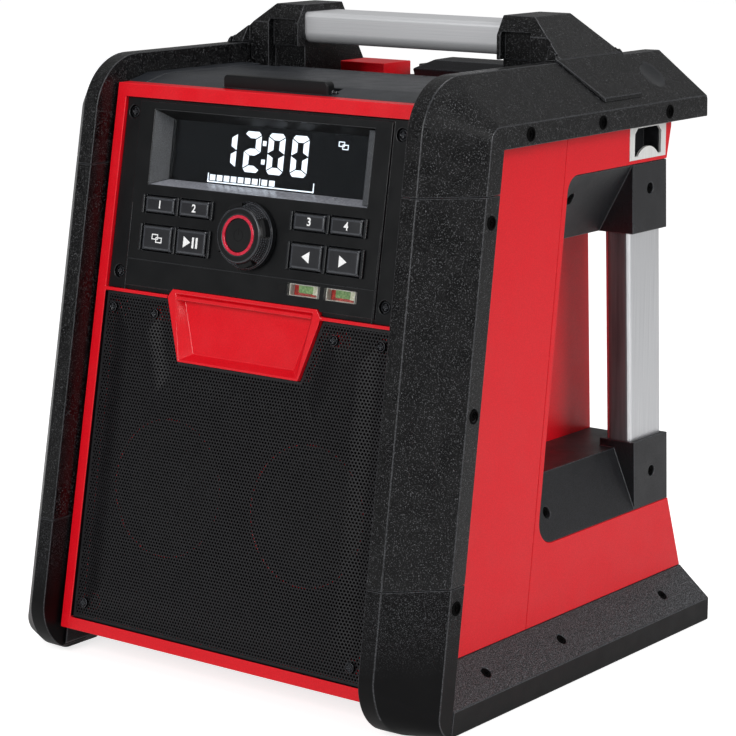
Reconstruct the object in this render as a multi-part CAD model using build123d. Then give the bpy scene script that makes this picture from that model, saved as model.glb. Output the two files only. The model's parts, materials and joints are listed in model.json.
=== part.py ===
"""Jobsite radio: front and rear shells, rubber bumpers, tube handles, hinged lid, keys and knob.

Frame: X to the right, Y from front to back, Z up, in millimetres.  The origin is on the floor,
under the middle of the object.  The control panel and grille share one leaning plane; on it, u runs
along X, v runs up the plane from the floor and n stands out of it towards the user.
"""
from build123d import *
from math import cos, radians, sin, tan
import os

# ------------------------------------------------------------------ driving sizes
WIDTH = 359.0                  # over the feet
DEPTH = 357.0                  # toe of the bumpers to the back of the base
RAIL_Z = 410.0                 # crown of the bumpers
PANEL_LEAN = 9.6               # lean of the front, degrees from upright
REAR_LEAN = 2.8                # lean of the back, degrees from upright
FIT = 0.3                      # gap between neighbouring mouldings
RUNNING = 0.05                 # radial clearance of a pin in its bore
WALL = 3.0                     # housing wall

# bumpers
SPLAY = 1.0                    # outward lean of the bumpers towards the floor, degrees
STRIP = 11.8                   # width of the flat crown strip
BEVEL = 31.0                   # size of the 45 degree bevel
FLANGE = 14.5                  # width of the outer band
BUMPER_PROUD = 18.5            # how far the crown stands in front of the panel plane
BUMPER_WALL = 4.0
CORNER_RADIUS = 41.0           # upper front corner
TOE_RADIUS = 36.0              # lower front corner, at the ridge
TOE_OUTER_RADIUS = 16.0        # and at the outer edge of the bevel
TOE_CHAMFER = 4.5              # lower inner edge
RAIL_LENGTH = 232.9            # straight part of the top rail
LOWER_SPLIT_Z = 97.1           # parting lines of the bumper
UPPER_SPLIT_Z = 337.7
DIMPLE_R = 11.8                # round dimple in the upper bevel
DIMPLE_DIP = 2.2
DIMPLE_RUN = 13.8              # its centre, out from the ridge
DIMPLE_DEPTH = 289.5           # its centre, behind the foot of the panel

# base
GROUND_GAP = 0.8               # the rubber feet stand this far proud
BAND_Z = 17.0                  # top of the vertical foot band
STRIP_Z = 37.5                 # top of the sloped foot strip
BASE_FLOOR = 3.5
BASE_RIB = 5.0
PAD_RADIUS = 13.0
PAD_POCKET = 2.5
TRAY_SETBACK = 60.0            # the middle of the base starts this far behind the panel

# housings
SIDE_INSET = 24.5              # side wall, in from the foot band
SEAM_DEPTH = 141.0             # front housing, at floor level
SEAM_LEAN = 7.4
REAR_INSET = 15.2              # back wall, in from the back of the base
REAR_FLARE_Z = 92.0            # the back wall flares out below this
SHOULDER_Z = 363.4             # side walls end here, under the rail
RIM_Z = 391.5                  # top of the red bezel and of the rear hump
RIM_DEPTH = 9.0                # front-to-back size of the bezel's top
DECK_SEAT_Z = 384.0            # the top deck lies on this
WELL_Z = 374.0                 # floor of the hand well under the handle
HUMP_DEPTH = 33.0              # rear hump, front to back
HUMP_NOTCH = 70.0              # half width of the gap in the hump, for the door
BEZEL_GAP = 2.3                # bezel to the crown strip, at floor level
BEZEL_BAND = 8.0               # visible width of the bezel
BEZEL_PROUD = 2.0
BEZEL_LOW_V = 21.1             # bottom edge of the bezel
FLOOR_MARGIN = 34.4            # bezel to the opening in the floor of both housings
FLOOR_REACH = 60.0             # from that opening to the back of the base
BAFFLE_N = -10.0               # speaker baffle, behind the panel plane
DIVIDER_V = 255.9              # lower edge of the bar between grille and panel
DIVIDER = 2.3

# shield tray under the panel
SHIELD = [(61.5, 262.6), (65.5, 257.2), (51.5, 215.0)]
SHIELD_PROUD = 2.2
SHIELD_DEPTH = 6.0
SHIELD_RIM = 7.0

# control panel
PANEL_STRIP = 27.9             # bezel to the raised middle of the panel
PANEL_STEP = 1.7
PANEL_FACE = -0.5              # n of the lower side strips
PANEL_PLATE = 6.5
RECESS_MARGIN = 13.5           # edge of the raised middle to the display recess
RECESS_LOW_V = 330.2
RECESS_HIGH_V = 380.6
RECESS_DEPTH = 12.0
WINDOW_MARGIN = 7.5            # side slope of the recess
WINDOW_LOW_V = 335.0
WINDOW_HIGH_V = 375.6
WINDOW_THICK = 2.0
MODULE_THICK = 7.0
KEY_SPACE = 3.8                # between two keys of a row
KEY_KNOB_MARGIN = 13.3         # knob to the nearest key
KEY_EDGE_MARGIN = 14.2         # outer key to the edge of the raised middle
SMALL_KEY_V = 317.2
SMALL_KEY_HEIGHT = 11.4
LARGE_KEY_V = 294.8
LARGE_KEY_HEIGHT = 17.2
KEY_PROUD = 3.2
KEY_GAP = 0.5
KEY_TRAVEL = 1.2
KEY_LIP = 0.9
KNOB_V = 303.8
KNOB_BASE_R = 22.4
KNOB_FACE_R = 17.8
KNOB_HEIGHT = 12.0
KNOB_SKIRT = 4.5
KNOB_HUB_R = 6.0
RING_OUT_R = 13.2
RING_IN_R = 11.2
POWER_R = 10.9
POWER_STEM_R = 2.5
BOARD_N = -14.4                # front face of the keypad board
BOARD_THICK = 1.6
LENS_V = 273.1
LENS_HEIGHT = 7.6
PANEL_SCREW_MARGIN = 21.4      # in from the bezel
PANEL_SCREW_V = [269.7, 378.0]

# grille and speakers
GRILLE_THICK = 1.2
GRILLE_N = -0.8
GRILLE_CROWN = 2.4             # how far the middle bulges
GRILLE_SCREW_V = [245.0, 244.4, 40.6]
GRILLE_SCREW_MARGIN = [20.0, 11.1, 18.7]    # in from the bezel, out from the shield, in again
SPEAKER_V = 128.0
SPEAKER_RIM = 5.0
SPEAKER_SPACE = 14.0           # half the space between the two cones
SPEAKER_DEPTH = 36.0
CONE_STROKE = 1.5

# side grips
RECESS_LAND = 5.5              # recess edge, behind the seam
RECESS_REACH = 65.0            # depth of the hand recess
RECESS_Z = [91.5, 336.5]
RECESS_RADII = [16.0, 12.0]
TUBE_LONG = 42.0
TUBE_SHORT = 22.0
TUBE_WALL = 2.2
TUBE_SOFT_R = 8.0              # corners towards the fingers
TUBE_HARD_R = 3.6
GRIP_INSET = 4.2               # side wall to the outer face of the grip tube
BOSS_REACH = 28.5              # side wall to the inner face of the bosses
BOSS_Z = [140.5, 288.2]        # top of the lower boss, bottom of the upper one
SHELF_Z = 134.7
SHELF_SLOPE = 16.5             # side wall to the end of the lower bracket's slope
SOFFIT_SLOPE = 27.5            # the same of the upper bracket
SOCKET_DEPTH = 26.0
GRIP_SCREW_Z = [110.0, 116.1, 319.0, 318.0]     # front and rear screw, lower then upper

# top handle
BRACKET_TOP_Z = 437.5
BRACKET_MARGIN = [62.9, 37.5]  # ridge of the bumper to the flat top, inner and outer side
BRACKET_TOP_DEPTH = 43.5
BRACKET_SLOPE = 0.6            # run of the front and rear faces for each mm of drop
HANDLE_SETBACK = 110.3         # handle centre, in from the back of the base
HANDLE_TUBE_Z = 421.2
HANDLE_SOCKET = 12.0
TONGUE_RAISE = 2.0
BRACKET_LOBE = 20.3            # the foot of the bracket ends this far behind the tube's middle
BRACKET_TAIL = 3.5             # its tail stands this far over the rear hump

# storage lid
LID_MARGIN = 22.4              # bezel to the end of the lid
LID_REACH = 113.0              # hinge axis, behind the bezel
LID_Z = 396.0
LID_THICK = 5.4
LID_SLOPE = 19.0
LID_PIN_R = 1.5
LID_KNUCKLE_R = 3.9
KNUCKLE_PITCH = 16.0
LATCH_HALF = 44.0
LATCH_TOP_Z = 400.5
LATCH_DEPTH = 7.6
LATCH_PIVOT_R = 1.2
BIN_MARGIN = 16.0              # end of the lid to the bin
BIN_DEPTH = 42.0
BIN_WALL = 2.0

# battery door and bay
DOOR_HALF = 68.0
DOOR_TOP_Z = 382.0
DOOR_PIN_Z = 70.0
DOOR_THICK = 8.0
DOOR_PROUD = 6.0
DOOR_PIN_R = 2.0
DOOR_KNUCKLE_R = 5.0
DOOR_LATCH_HALF = 50.0
DOOR_LATCH_TOP_Z = 397.5
DOOR_LATCH_REACH = 26.0
BAY_HALF = 60.0
BAY_Z = [98.0, 330.0]
BAY_DEPTH = 92.0
BOARD_Z = [112.0, 318.0]       # lower and upper edge of the main board
BOARD_MARGIN = 6.0             # main board, out from the battery bay
SUPPLY_HALF = 58.0
SUPPLY_FIN = [14.0, 32.0]      # top of the power supply's base and of its fins
TERMINAL_HALF = 28.0
TERMINAL_Z = [150.0, 196.0]    # terminal block, above the floor of the bay
TERMINAL_PITCH = 12.0
INLET_INSET = 43.0             # mains inlet, in from the side wall
INLET_Z = 64.0
INLET_BODY = (30.0, 22.0)
INLET_MOUTH = (18.0, 10.0)

# bottle opener
OPENER_SIZE = (46.5, 24.0)
OPENER_THICK = 2.0
OPENER_CUT = (34.0, 19.0)
OPENER_TOOTH = (26.0, 6.0)     # chord and rise of the arched tooth
OPENER_POCKET = 14.0

# fasteners
SCREW_R = 1.5
SCREW_HEAD_R = 3.3
SCREW_HEAD = 2.2
BIG_SCREW_R = 1.9
BIG_HEAD_R = 3.6
FLANGE_SCREW_Z = [83.4, 203.1, 320.8]
RAIL_SCREW_DEPTH = [118.1, 202.4, 285.8]
STRIP_SCREW_DEPTH = [83.0, 171.0, 301.0]

# ------------------------------------------------------------------ derived datums
LEAN_SIN = sin(radians(PANEL_LEAN))
LEAN_COS = cos(radians(PANEL_LEAN))
LEAN_TAN = tan(radians(PANEL_LEAN))
TOE_CENTRE = (TOE_RADIUS * (1 + LEAN_SIN) - BUMPER_PROUD) / LEAN_COS
PANEL_FOOT_Y = -DEPTH / 2 + TOE_RADIUS - TOE_CENTRE
REAR_Y = DEPTH / 2
FOOT_X = WIDTH / 2
SIDE_X = FOOT_X - SIDE_INSET
RIDGE_X = FOOT_X - BEVEL
INNER_X = RIDGE_X - STRIP
SECTION_DEPTH = BEVEL + FLANGE
BEZEL_HALF = INNER_X - BEZEL_GAP
FLOOR_HALF = BEZEL_HALF - FLOOR_MARGIN
LID_HALF = BEZEL_HALF - LID_MARGIN
BIN_HALF = LID_HALF - BIN_MARGIN
RECESS_X = SIDE_X - RECESS_REACH
GRIP_TUBE_X = SIDE_X - GRIP_INSET
BOSS_INNER_X = SIDE_X - BOSS_REACH
INLET_X = INLET_INSET - SIDE_X
BRACKET_X = [RIDGE_X - margin for margin in BRACKET_MARGIN]
PANEL_STEP_HALF = BEZEL_HALF - PANEL_STRIP
PANEL_SCREW_U = BEZEL_HALF - PANEL_SCREW_MARGIN
RECESS_HALF = PANEL_STEP_HALF - RECESS_MARGIN
WINDOW_HALF = RECESS_HALF - WINDOW_MARGIN
KEY_IN_U = KNOB_BASE_R + KEY_KNOB_MARGIN
KEY_OUT_U = PANEL_STEP_HALF - KEY_EDGE_MARGIN
KEY_WIDTH = (KEY_OUT_U - KEY_IN_U - KEY_SPACE) / 2
KEY_PITCH = KEY_WIDTH + KEY_SPACE
KEY_GROUP_U = (KEY_IN_U + KEY_OUT_U) / 2
LENS_WIDTH = KEY_WIDTH - 0.4
LENS_U = [KEY_GROUP_U - 0.5 - KEY_PITCH / 2, KEY_GROUP_U - 0.5 + KEY_PITCH / 2]
SPEAKER_U = (BEZEL_HALF - SPEAKER_SPACE) / 2
SPEAKER_R = SPEAKER_U - SPEAKER_SPACE
GRILLE_SCREW_U = [BEZEL_HALF - GRILLE_SCREW_MARGIN[0], SHIELD[1][0] + GRILLE_SCREW_MARGIN[1],
                  BEZEL_HALF - GRILLE_SCREW_MARGIN[2]]
GRILLE_SCREWS = list(zip(GRILLE_SCREW_U, GRILLE_SCREW_V))
PANEL_TOP_V = (RIM_Z - BEZEL_PROUD * LEAN_SIN) / LEAN_COS
PANEL_LOW_V = DIVIDER_V + DIVIDER
PANEL_HIGH_V = PANEL_TOP_V - BEZEL_BAND - 1.0
GRILLE_LOW_V = BEZEL_LOW_V + BEZEL_BAND
PANEL = Plane(origin=(0, PANEL_FOOT_Y, 0), x_dir=(1, 0, 0), z_dir=(0, -LEAN_COS, LEAN_SIN))
HANDLE_Y = REAR_Y - HANDLE_SETBACK
PARTS = {}


def panel_y(z, depth=0.0):
    """Y of the plane that lies depth behind the panel plane, at height z."""
    return PANEL_FOOT_Y + z * LEAN_TAN + depth / LEAN_COS


def seam_y(z, behind=0.0):
    """Y of the seam between the two housings."""
    return PANEL_FOOT_Y + SEAM_DEPTH + z * tan(radians(SEAM_LEAN)) + behind


def rear_y(z, behind=0.0):
    """Y of the leaning back wall."""
    return REAR_Y - REAR_INSET - z * tan(radians(REAR_LEAN)) + behind


def bezel_x(z, inset=0.0):
    """Half width of the bezel at height z."""
    return BEZEL_HALF - z * tan(radians(SPLAY)) - inset


LID_FRONT_Y = panel_y(RIM_Z) + RIM_DEPTH
HINGE_Y = LID_FRONT_Y + LID_REACH
HINGE_Z = LID_Z - LID_KNUCKLE_R
WELL_Y = HINGE_Y + LID_KNUCKLE_R + 1.5
HUMP_Y = rear_y(RIM_Z) + 8.0 - HUMP_DEPTH
TOP_REAR_Y = rear_y(RIM_Z) + 8.0
DOOR_PIN_Y = rear_y(DOOR_PIN_Z) + 4.0


# ------------------------------------------------------------------ helpers
def outline(points):
    """Closed face through (x, y) points on the sketch plane."""
    return make_face(Polyline(*points, close=True))


def prism_x(points, low, high):
    """Prism of a (y, z) outline between two X stations."""
    return extrude(Plane.YZ.offset(low) * outline(points), amount=high - low)


def prism_y(points, low, high):
    """Prism of an (x, z) outline between two Y stations."""
    plane = Plane(origin=(0, low, 0), x_dir=(1, 0, 0), z_dir=(0, -1, 0))
    return extrude(plane * outline(points), amount=-(high - low))


def prism_n(points, low, high):
    """Prism of a (u, v) outline between two heights over the panel plane."""
    return extrude(PANEL.offset(low) * outline(points), amount=high - low)


def block(x, y, z):
    """Box between pairs of X, Y and Z stations."""
    size = Box(x[1] - x[0], y[1] - y[0], z[1] - z[0])
    return Pos((x[0] + x[1]) / 2, (y[0] + y[1]) / 2, (z[0] + z[1]) / 2) * size


def panel_block(u, v, n):
    """Box between pairs of u, v and n stations of the panel plane."""
    size = Box(u[1] - u[0], v[1] - v[0], n[1] - n[0])
    return PANEL * Pos((u[0] + u[1]) / 2, (v[0] + v[1]) / 2, (n[0] + n[1]) / 2) * size


def panel_rod(u, v, radius, low, high):
    """Cylinder that stands square on the panel plane."""
    return PANEL * Pos(u, v, (low + high) / 2) * Cylinder(radius, high - low)


def rod_x(x, y, z, radius):
    """Cylinder along X."""
    return Pos((x[0] + x[1]) / 2, y, z) * Rot(0, 90, 0) * Cylinder(radius, x[1] - x[0])


def mirrored(shape):
    """The same shape on the other side of the symmetry plane."""
    return mirror(shape, about=Plane.YZ)


def both(shape):
    """A shape and its mirror image."""
    return shape + mirrored(shape)


def splayed(shape):
    """Lean a right-hand bumper shape outwards, about its ridge on the floor."""
    return Pos(RIDGE_X, 0, 0) * Rot(0, -SPLAY, 0) * Pos(-RIDGE_X, 0, 0) * shape


def save(name, shape):
    """Keep a finished node under its name."""
    PARTS[name] = shape


def screw(radius, length, head_radius, head):
    """Pan-head screw with its tip down and the underside of its head at the origin."""
    body = Pos(0, 0, -length / 2) * Cylinder(radius, length)
    cap = Pos(0, 0, head / 2) * Cylinder(head_radius, head)
    slot = Pos(0, 0, head) * (Box(head_radius * 1.1, 0.9, 2) + Box(0.9, head_radius * 1.1, 2))
    return body + cap - slot


# ------------------------------------------------------------------ bumpers
def bumper_section(solid):
    """Section of a bumper: x across, and depth in from the crown."""
    lip = SIDE_X + FIT
    if solid:
        inner = [(INNER_X, SECTION_DEPTH)]
        return [(INNER_X, 0), (RIDGE_X, 0), (FOOT_X, BEVEL), (FOOT_X, SECTION_DEPTH)] + inner
    wall = BUMPER_WALL
    slant = wall * tan(radians(22.5))
    return [
        (INNER_X, 20), (INNER_X, 0), (RIDGE_X, 0), (FOOT_X, BEVEL), (FOOT_X, SECTION_DEPTH),
        (lip, SECTION_DEPTH), (lip, SECTION_DEPTH - wall), (FOOT_X - wall, SECTION_DEPTH - wall),
        (FOOT_X - wall, BEVEL + slant), (RIDGE_X - slant, wall), (INNER_X + wall, wall),
        (INNER_X + wall, 20),
    ]


def corner_centre():
    """Centre (y, z) and panel height v of the upper front corner."""
    z = RAIL_Z - CORNER_RADIUS
    n = BUMPER_PROUD - CORNER_RADIUS
    v = (z - n * LEAN_SIN) / LEAN_COS
    return PANEL_FOOT_Y + v * LEAN_SIN - n * LEAN_COS, z, v


def leg_plane(v):
    """Section plane of the front leg at panel height v; its y axis points inwards."""
    y = PANEL_FOOT_Y + v * LEAN_SIN - BUMPER_PROUD * LEAN_COS
    z = v * LEAN_COS + BUMPER_PROUD * LEAN_SIN
    return Plane(origin=(0, y, z), x_dir=(1, 0, 0), z_dir=(0, LEAN_SIN, LEAN_COS))


def rail_plane(y):
    """Section plane of the top rail."""
    return Plane(origin=(0, y, RAIL_Z), x_dir=(1, 0, 0), z_dir=(0, 1, 0))


def bumper_skin():
    """Right-hand bumper in one piece: leg, corner and rail, with a closed rear end."""
    y, z, v = corner_centre()
    face = outline(bumper_section(False))
    full = outline(bumper_section(True))
    leg = extrude(leg_plane(-20) * face, amount=v + 20)
    axis = Axis((0, y, z), (-1, 0, 0))
    turned = face & Pos(FOOT_X, CORNER_RADIUS / 2) * Rectangle(WIDTH, CORNER_RADIUS)
    corner = revolve(leg_plane(v) * turned, axis=axis, revolution_arc=90 - PANEL_LEAN)
    rail = extrude(rail_plane(y) * face, amount=RAIL_LENGTH)
    end = extrude(rail_plane(y + RAIL_LENGTH) * full, amount=BUMPER_WALL + 14)
    cut = [(y + RAIL_LENGTH + 4, RAIL_Z + 1), (y + RAIL_LENGTH + 18, RAIL_Z - SECTION_DEPTH + 12),
           (y + RAIL_LENGTH + 18, RAIL_Z - SECTION_DEPTH - 9), (y + RAIL_LENGTH + 60, RAIL_Z - 70),
           (y + RAIL_LENGTH + 60, RAIL_Z + 1)]
    return leg + corner + rail + (end - prism_x(cut, 0, FOOT_X + 10))


def toe_profile(lean, radius):
    """Upright profile with its lower front corner, which is rounded, at the origin."""
    top, far = 150.0, 260.0
    face = outline([(0, 0), (top * lean, top), (far, top), (far, 0)])
    toe = face.vertices().sort_by(Axis.Y)[:2].sort_by(Axis.X)[0]
    return fillet(toe, radius)


def toe_limit():
    """Right-hand limit of the feet: round in front, and rounded less and less out along the bevel."""
    corner_y = panel_y(0) - BUMPER_PROUD / LEAN_COS
    front = Plane(origin=(0, corner_y, 0), x_dir=(0, 1, 0), z_dir=(1, 0, 0))
    limit = extrude(front * toe_profile(LEAN_TAN, TOE_RADIUS), amount=FOOT_X + 20)
    along = Vector(LEAN_COS, 1, 0).normalized()
    inward = Vector(-along.Y, along.X, 0)
    ends = []
    for part in (-0.3, 1.2):
        spot = Vector(RIDGE_X, corner_y, 0) + along * (BEVEL / along.X * part)
        radius = TOE_RADIUS + part * (TOE_OUTER_RADIUS - TOE_RADIUS)
        ends.append(Plane(origin=spot, x_dir=inward, z_dir=along) * toe_profile(LEAN_TAN * inward.Y, radius))
    slanted = loft(ends, ruled=True)
    slanted += extrude(ends[0], amount=200, dir=-along) + extrude(ends[1], amount=80, dir=along)
    return limit & slanted


def toe_wedge():
    """What the chamfer along the lower inner edge of a right-hand foot takes away."""
    edge = INNER_X + TOE_CHAMFER + GROUND_GAP
    corners = [(edge - 20, -1), (edge + 1, -1), (edge - 20, 20)]
    return prism_y(corners, panel_y(0, -60), panel_y(0, TRAY_SETBACK))


def flange_screw_spots():
    """Screw places on the outer band: on the leg, then on the rail."""
    middle = BEVEL + FLANGE / 2
    spots = [(panel_y(z, middle - BUMPER_PROUD), z) for z in FLANGE_SCREW_Z]
    return spots + [(PANEL_FOOT_Y + depth, RAIL_Z - middle) for depth in RAIL_SCREW_DEPTH]


def flange_holes():
    """Counterbored holes through the outer band."""
    cuts = Part()
    for y, z in flange_screw_spots():
        cuts += rod_x((FOOT_X - SCREW_HEAD - 0.6, FOOT_X + 5), y, z, BIG_HEAD_R + FIT)
        cuts += rod_x((SIDE_X - 20, FOOT_X), y, z, BIG_SCREW_R + 0.2)
    return cuts


def dimple():
    """Round dish in the upper bevel, before the splay."""
    bowl = (DIMPLE_R ** 2 + DIMPLE_DIP ** 2) / (2 * DIMPLE_DIP)
    seat = Plane(origin=(RIDGE_X + DIMPLE_RUN, PANEL_FOOT_Y + DIMPLE_DEPTH, RAIL_Z - DIMPLE_RUN),
                 x_dir=(0, 1, 0), z_dir=(1, 0, 1))
    return seat * Pos(0, 0, bowl - DIMPLE_DIP) * Sphere(bowl)


def make_bumpers():
    """Three bumper pieces on each side."""
    skin = splayed(bumper_skin() - flange_holes() - dimple())
    lower = extrude(leg_plane(-20) * outline(bumper_section(True)), amount=150)
    lower = splayed((lower & toe_limit()) - flange_holes() - toe_wedge())
    far = (-DEPTH, DEPTH)
    wide = (0, WIDTH)
    upper = skin & block(wide, far, (UPPER_SPLIT_Z + FIT / 2, RAIL_Z + 20))
    middle = skin & block(wide, far, (LOWER_SPLIT_Z + FIT / 2, UPPER_SPLIT_Z - FIT / 2))
    lower = lower & block(wide, far, (GROUND_GAP, LOWER_SPLIT_Z - FIT / 2))
    for name, piece in (("upper", upper), ("middle", middle), ("lower", lower)):
        save(f"bumper_{name}_right", piece)
        save(f"bumper_{name}_left", mirrored(piece))


def make_bumper_screws():
    """Screws of the outer bands and of the foot strips."""
    length = FOOT_X - SIDE_X + WALL
    shape = Part()
    for y, z in flange_screw_spots():
        seat = Pos(FOOT_X - SCREW_HEAD - 0.6, y, z) * Rot(0, 90, 0)
        shape += splayed(seat * screw(BIG_SCREW_R, length, BIG_HEAD_R, SCREW_HEAD))
    for seat in strip_screw_seats():
        shape += seat * screw(BIG_SCREW_R, 9, BIG_HEAD_R, SCREW_HEAD)
    save("bumper_screws", both(shape))


# ------------------------------------------------------------------ base
def strip_screw_seats():
    """Frames of the foot-strip screws, z out of the slope."""
    run = FOOT_X - SIDE_X
    rise = STRIP_Z - BAND_Z
    slope = Vector(rise, 0, run).normalized()
    middle = ((SIDE_X + FOOT_X) / 2, (STRIP_Z + BAND_Z) / 2)
    seats = []
    for depth in STRIP_SCREW_DEPTH:
        point = Vector(middle[0], PANEL_FOOT_Y + depth, middle[1]) - slope * (SCREW_HEAD + 0.4)
        seats.append(Plane(origin=point, x_dir=(0, 1, 0), z_dir=slope))
    return seats


def make_base():
    """Tray with side bands, and the rubber pads under it."""
    bottom = GROUND_GAP
    half = bezel_x(BAND_Z) + FIT
    low_top = BEZEL_LOW_V * LEAN_COS - FIT
    front = panel_y(0, 5)
    tray_front = panel_y(0, TRAY_SETBACK)
    section = [(-FOOT_X, bottom), (FOOT_X, bottom), (FOOT_X, BAND_Z), (SIDE_X, STRIP_Z),
               (half, STRIP_Z), (half, low_top), (-half, low_top), (-half, STRIP_Z),
               (-SIDE_X, STRIP_Z), (-FOOT_X, BAND_Z)]
    base = prism_y(section, front, REAR_Y)
    bumper_back = SECTION_DEPTH - BUMPER_PROUD + FIT
    clear = [(panel_y(0, -40), 0), (panel_y(0, bumper_back), 0),
             (panel_y(60, bumper_back), 60), (panel_y(60, -40), 60)]
    base -= both(prism_x(clear, INNER_X - 0.8, FOOT_X + 20))
    lean = [(panel_y(0, -60), 0), (panel_y(0, 6), 0), (panel_y(60, 6), 60), (panel_y(60, -60), 60)]
    base -= prism_x(lean, -INNER_X, INNER_X)
    base -= block((-half, half), (panel_y(0, -60), tray_front), (0, low_top + 1))
    ahead = block((0, FOOT_X + 20), (panel_y(0, -60), tray_front), (0, TOE_RADIUS + 5))
    base -= both((ahead - toe_limit()) + toe_wedge())
    tray = half - 6
    base -= block((-tray, tray), (tray_front + BASE_RIB, REAR_Y - 12), (BASE_FLOOR + bottom, 60))
    cavity = [(half + BASE_RIB, 0), (half + BASE_RIB, STRIP_Z - BASE_RIB),
              (SIDE_X - 2, STRIP_Z - BASE_RIB), (FOOT_X - BASE_RIB, BAND_Z - 3), (FOOT_X - BASE_RIB, 0)]
    cavity = prism_y(cavity, panel_y(0, 44), REAR_Y - BASE_RIB)
    for seat in strip_screw_seats():
        cavity -= seat * Pos(0, 0, -6) * Cylinder(BIG_SCREW_R + 3, 40)
    base -= both(cavity)
    for seat in strip_screw_seats():
        bore = Pos(0, 0, 5) * Cylinder(BIG_HEAD_R + FIT, 10) + Cylinder(BIG_SCREW_R + 0.05, 26)
        base -= both(seat * bore)
    pads = Part()
    pocket = Part()
    for x in (-1, 1):
        for y in (tray_front + PAD_RADIUS + BASE_RIB, REAR_Y - 2 * PAD_RADIUS):
            spot = Pos(x * (tray - PAD_RADIUS - 4), y, 0)
            pads += spot * Pos(0, 0, PAD_POCKET / 2) * Cylinder(PAD_RADIUS, PAD_POCKET)
            pocket += spot * Cylinder(PAD_RADIUS + 0.1, 2 * PAD_POCKET + 0.1)
    save("base_tray", base - pocket)
    save("rubber_feet", pads)


# ------------------------------------------------------------------ housings
def side_profile(front, seam, bottom, top):
    """(y, z) outline between a plane behind the panel and the seam."""
    return [(panel_y(bottom, front), bottom), (seam_y(bottom, seam), bottom),
            (seam_y(top, seam), top), (panel_y(top, front), top)]


def bezel_outline(inset, low, high):
    """(u, v) trapezoid of the bezel's splayed sides."""
    return [(bezel_x(low * LEAN_COS, inset), low), (bezel_x(high * LEAN_COS, inset), high),
            (-bezel_x(high * LEAN_COS, inset), high), (-bezel_x(low * LEAN_COS, inset), low)]


def shield_outline(grow=0.0):
    """(u, v) outline of the shield tray, grown by a margin."""
    right = [(u + grow, v + (grow if v > 260 else 0)) for u, v in SHIELD[:2]]
    right.append((SHIELD[2][0] + grow, SHIELD[2][1] - grow))
    return right + [(-u, v) for u, v in reversed(right)]


def shield_tray():
    """Raised shield with a sloping-sided tray in its face."""
    body = prism_n(shield_outline(), BAFFLE_N - 1, SHIELD_PROUD)
    top = [(SHIELD[0][0] - SHIELD_RIM * 0.4, SHIELD[0][1] - 2.5), (SHIELD[2][0] - 0.8, SHIELD[2][1] + 1.2)]
    mouth = top + [(-u, v) for u, v in reversed(top)]
    floor = [(top[0][0] - 4, top[0][1] - 4), (top[1][0] - 7.5, top[1][1] + 5)]
    floor = floor + [(-u, v) for u, v in reversed(floor)]
    low = PANEL.offset(SHIELD_PROUD - SHIELD_DEPTH) * outline(floor)
    high = PANEL.offset(SHIELD_PROUD + 0.01) * outline(mouth)
    return body - loft([low, high])


def front_core(skin, seam):
    """Body of the front housing, inset by a skin thickness."""
    wide_front = SECTION_DEPTH - BUMPER_PROUD + FIT + skin
    bottom = BEZEL_LOW_V * LEAN_COS + skin
    wide = prism_x(side_profile(wide_front, seam, STRIP_Z + FIT + skin, SHOULDER_Z - skin),
                   -SIDE_X + skin, SIDE_X - skin)
    top = DECK_SEAT_Z - skin
    front = -BEZEL_PROUD if not skin else -BAFFLE_N + skin
    tall = prism_x(side_profile(front, seam, bottom, top), -SIDE_X, SIDE_X)
    trapezoid = prism_n(bezel_outline(skin, -20, 1.05 * RAIL_Z), -DEPTH, 30)
    return wide + (tall & trapezoid)


def rim():
    """Top bar of the bezel, up to the rim."""
    front = -BEZEL_PROUD
    profile = [(panel_y(RIM_Z - 16, front), RIM_Z - 16), (panel_y(RIM_Z, front), RIM_Z),
               (panel_y(RIM_Z) + RIM_DEPTH - FIT, RIM_Z),
               (panel_y(RIM_Z) + RIM_DEPTH - FIT, RIM_Z - 16)]
    return prism_x(profile, -SIDE_X, SIDE_X) & prism_n(bezel_outline(0, -20, 1.05 * RAIL_Z), -DEPTH, 30)


def screw_boss(u, v, low, high, radius=5.0):
    """Post for a screw, with its pilot hole."""
    return panel_rod(u, v, radius, low, high)


def make_front_housing():
    """Front shell: bezel, baffle, divider bar, shield and panel ledge."""
    shell = front_core(0, 0) + rim()
    shell -= front_core(WALL, 5)
    shell -= prism_n(bezel_outline(BEZEL_BAND, GRILLE_LOW_V, DIVIDER_V), BAFFLE_N, 30)
    shell -= prism_n(bezel_outline(BEZEL_BAND, PANEL_LOW_V, PANEL_HIGH_V),
                     PANEL_FACE - PANEL_PLATE - 0.2, 30)
    ledge = PANEL_STEP_HALF - 2
    shell -= panel_block((-ledge, ledge), (PANEL_LOW_V + 8, PANEL_HIGH_V - 3), (-40, 5))
    shell += shield_tray()
    for side in (-1, 1):
        for u, v in GRILLE_SCREWS:
            shell += screw_boss(side * u, v, BAFFLE_N - 1, GRILLE_N - GRILLE_THICK - 0.1)
            shell -= panel_rod(side * u, v, SCREW_R + 0.05, -22, 5)
        for v in PANEL_SCREW_V:
            shell -= panel_rod(side * PANEL_SCREW_U, v, SCREW_R + 0.05, -24, 5)
        shell -= panel_rod(side * SPEAKER_U, SPEAKER_V, SPEAKER_R, -30, 5)
        for v in (-1, 1):
            for u in (-1, 1):
                post = SPEAKER_R + 0.5 - SPEAKER_RIM - 1
                spot = (side * SPEAKER_U + u * post, SPEAKER_V + v * post)
                shell += panel_rod(*spot, 4, BAFFLE_N - 8, BAFFLE_N - 1)
    shell -= screw_tunnels()
    shell -= block((-BIN_HALF - FIT, BIN_HALF + FIT), (bin_front() - FIT, bin_back() + FIT),
                   (DECK_SEAT_Z - BIN_DEPTH, DECK_SEAT_Z + 10))
    save("front_housing", shell - floor_opening())


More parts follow.
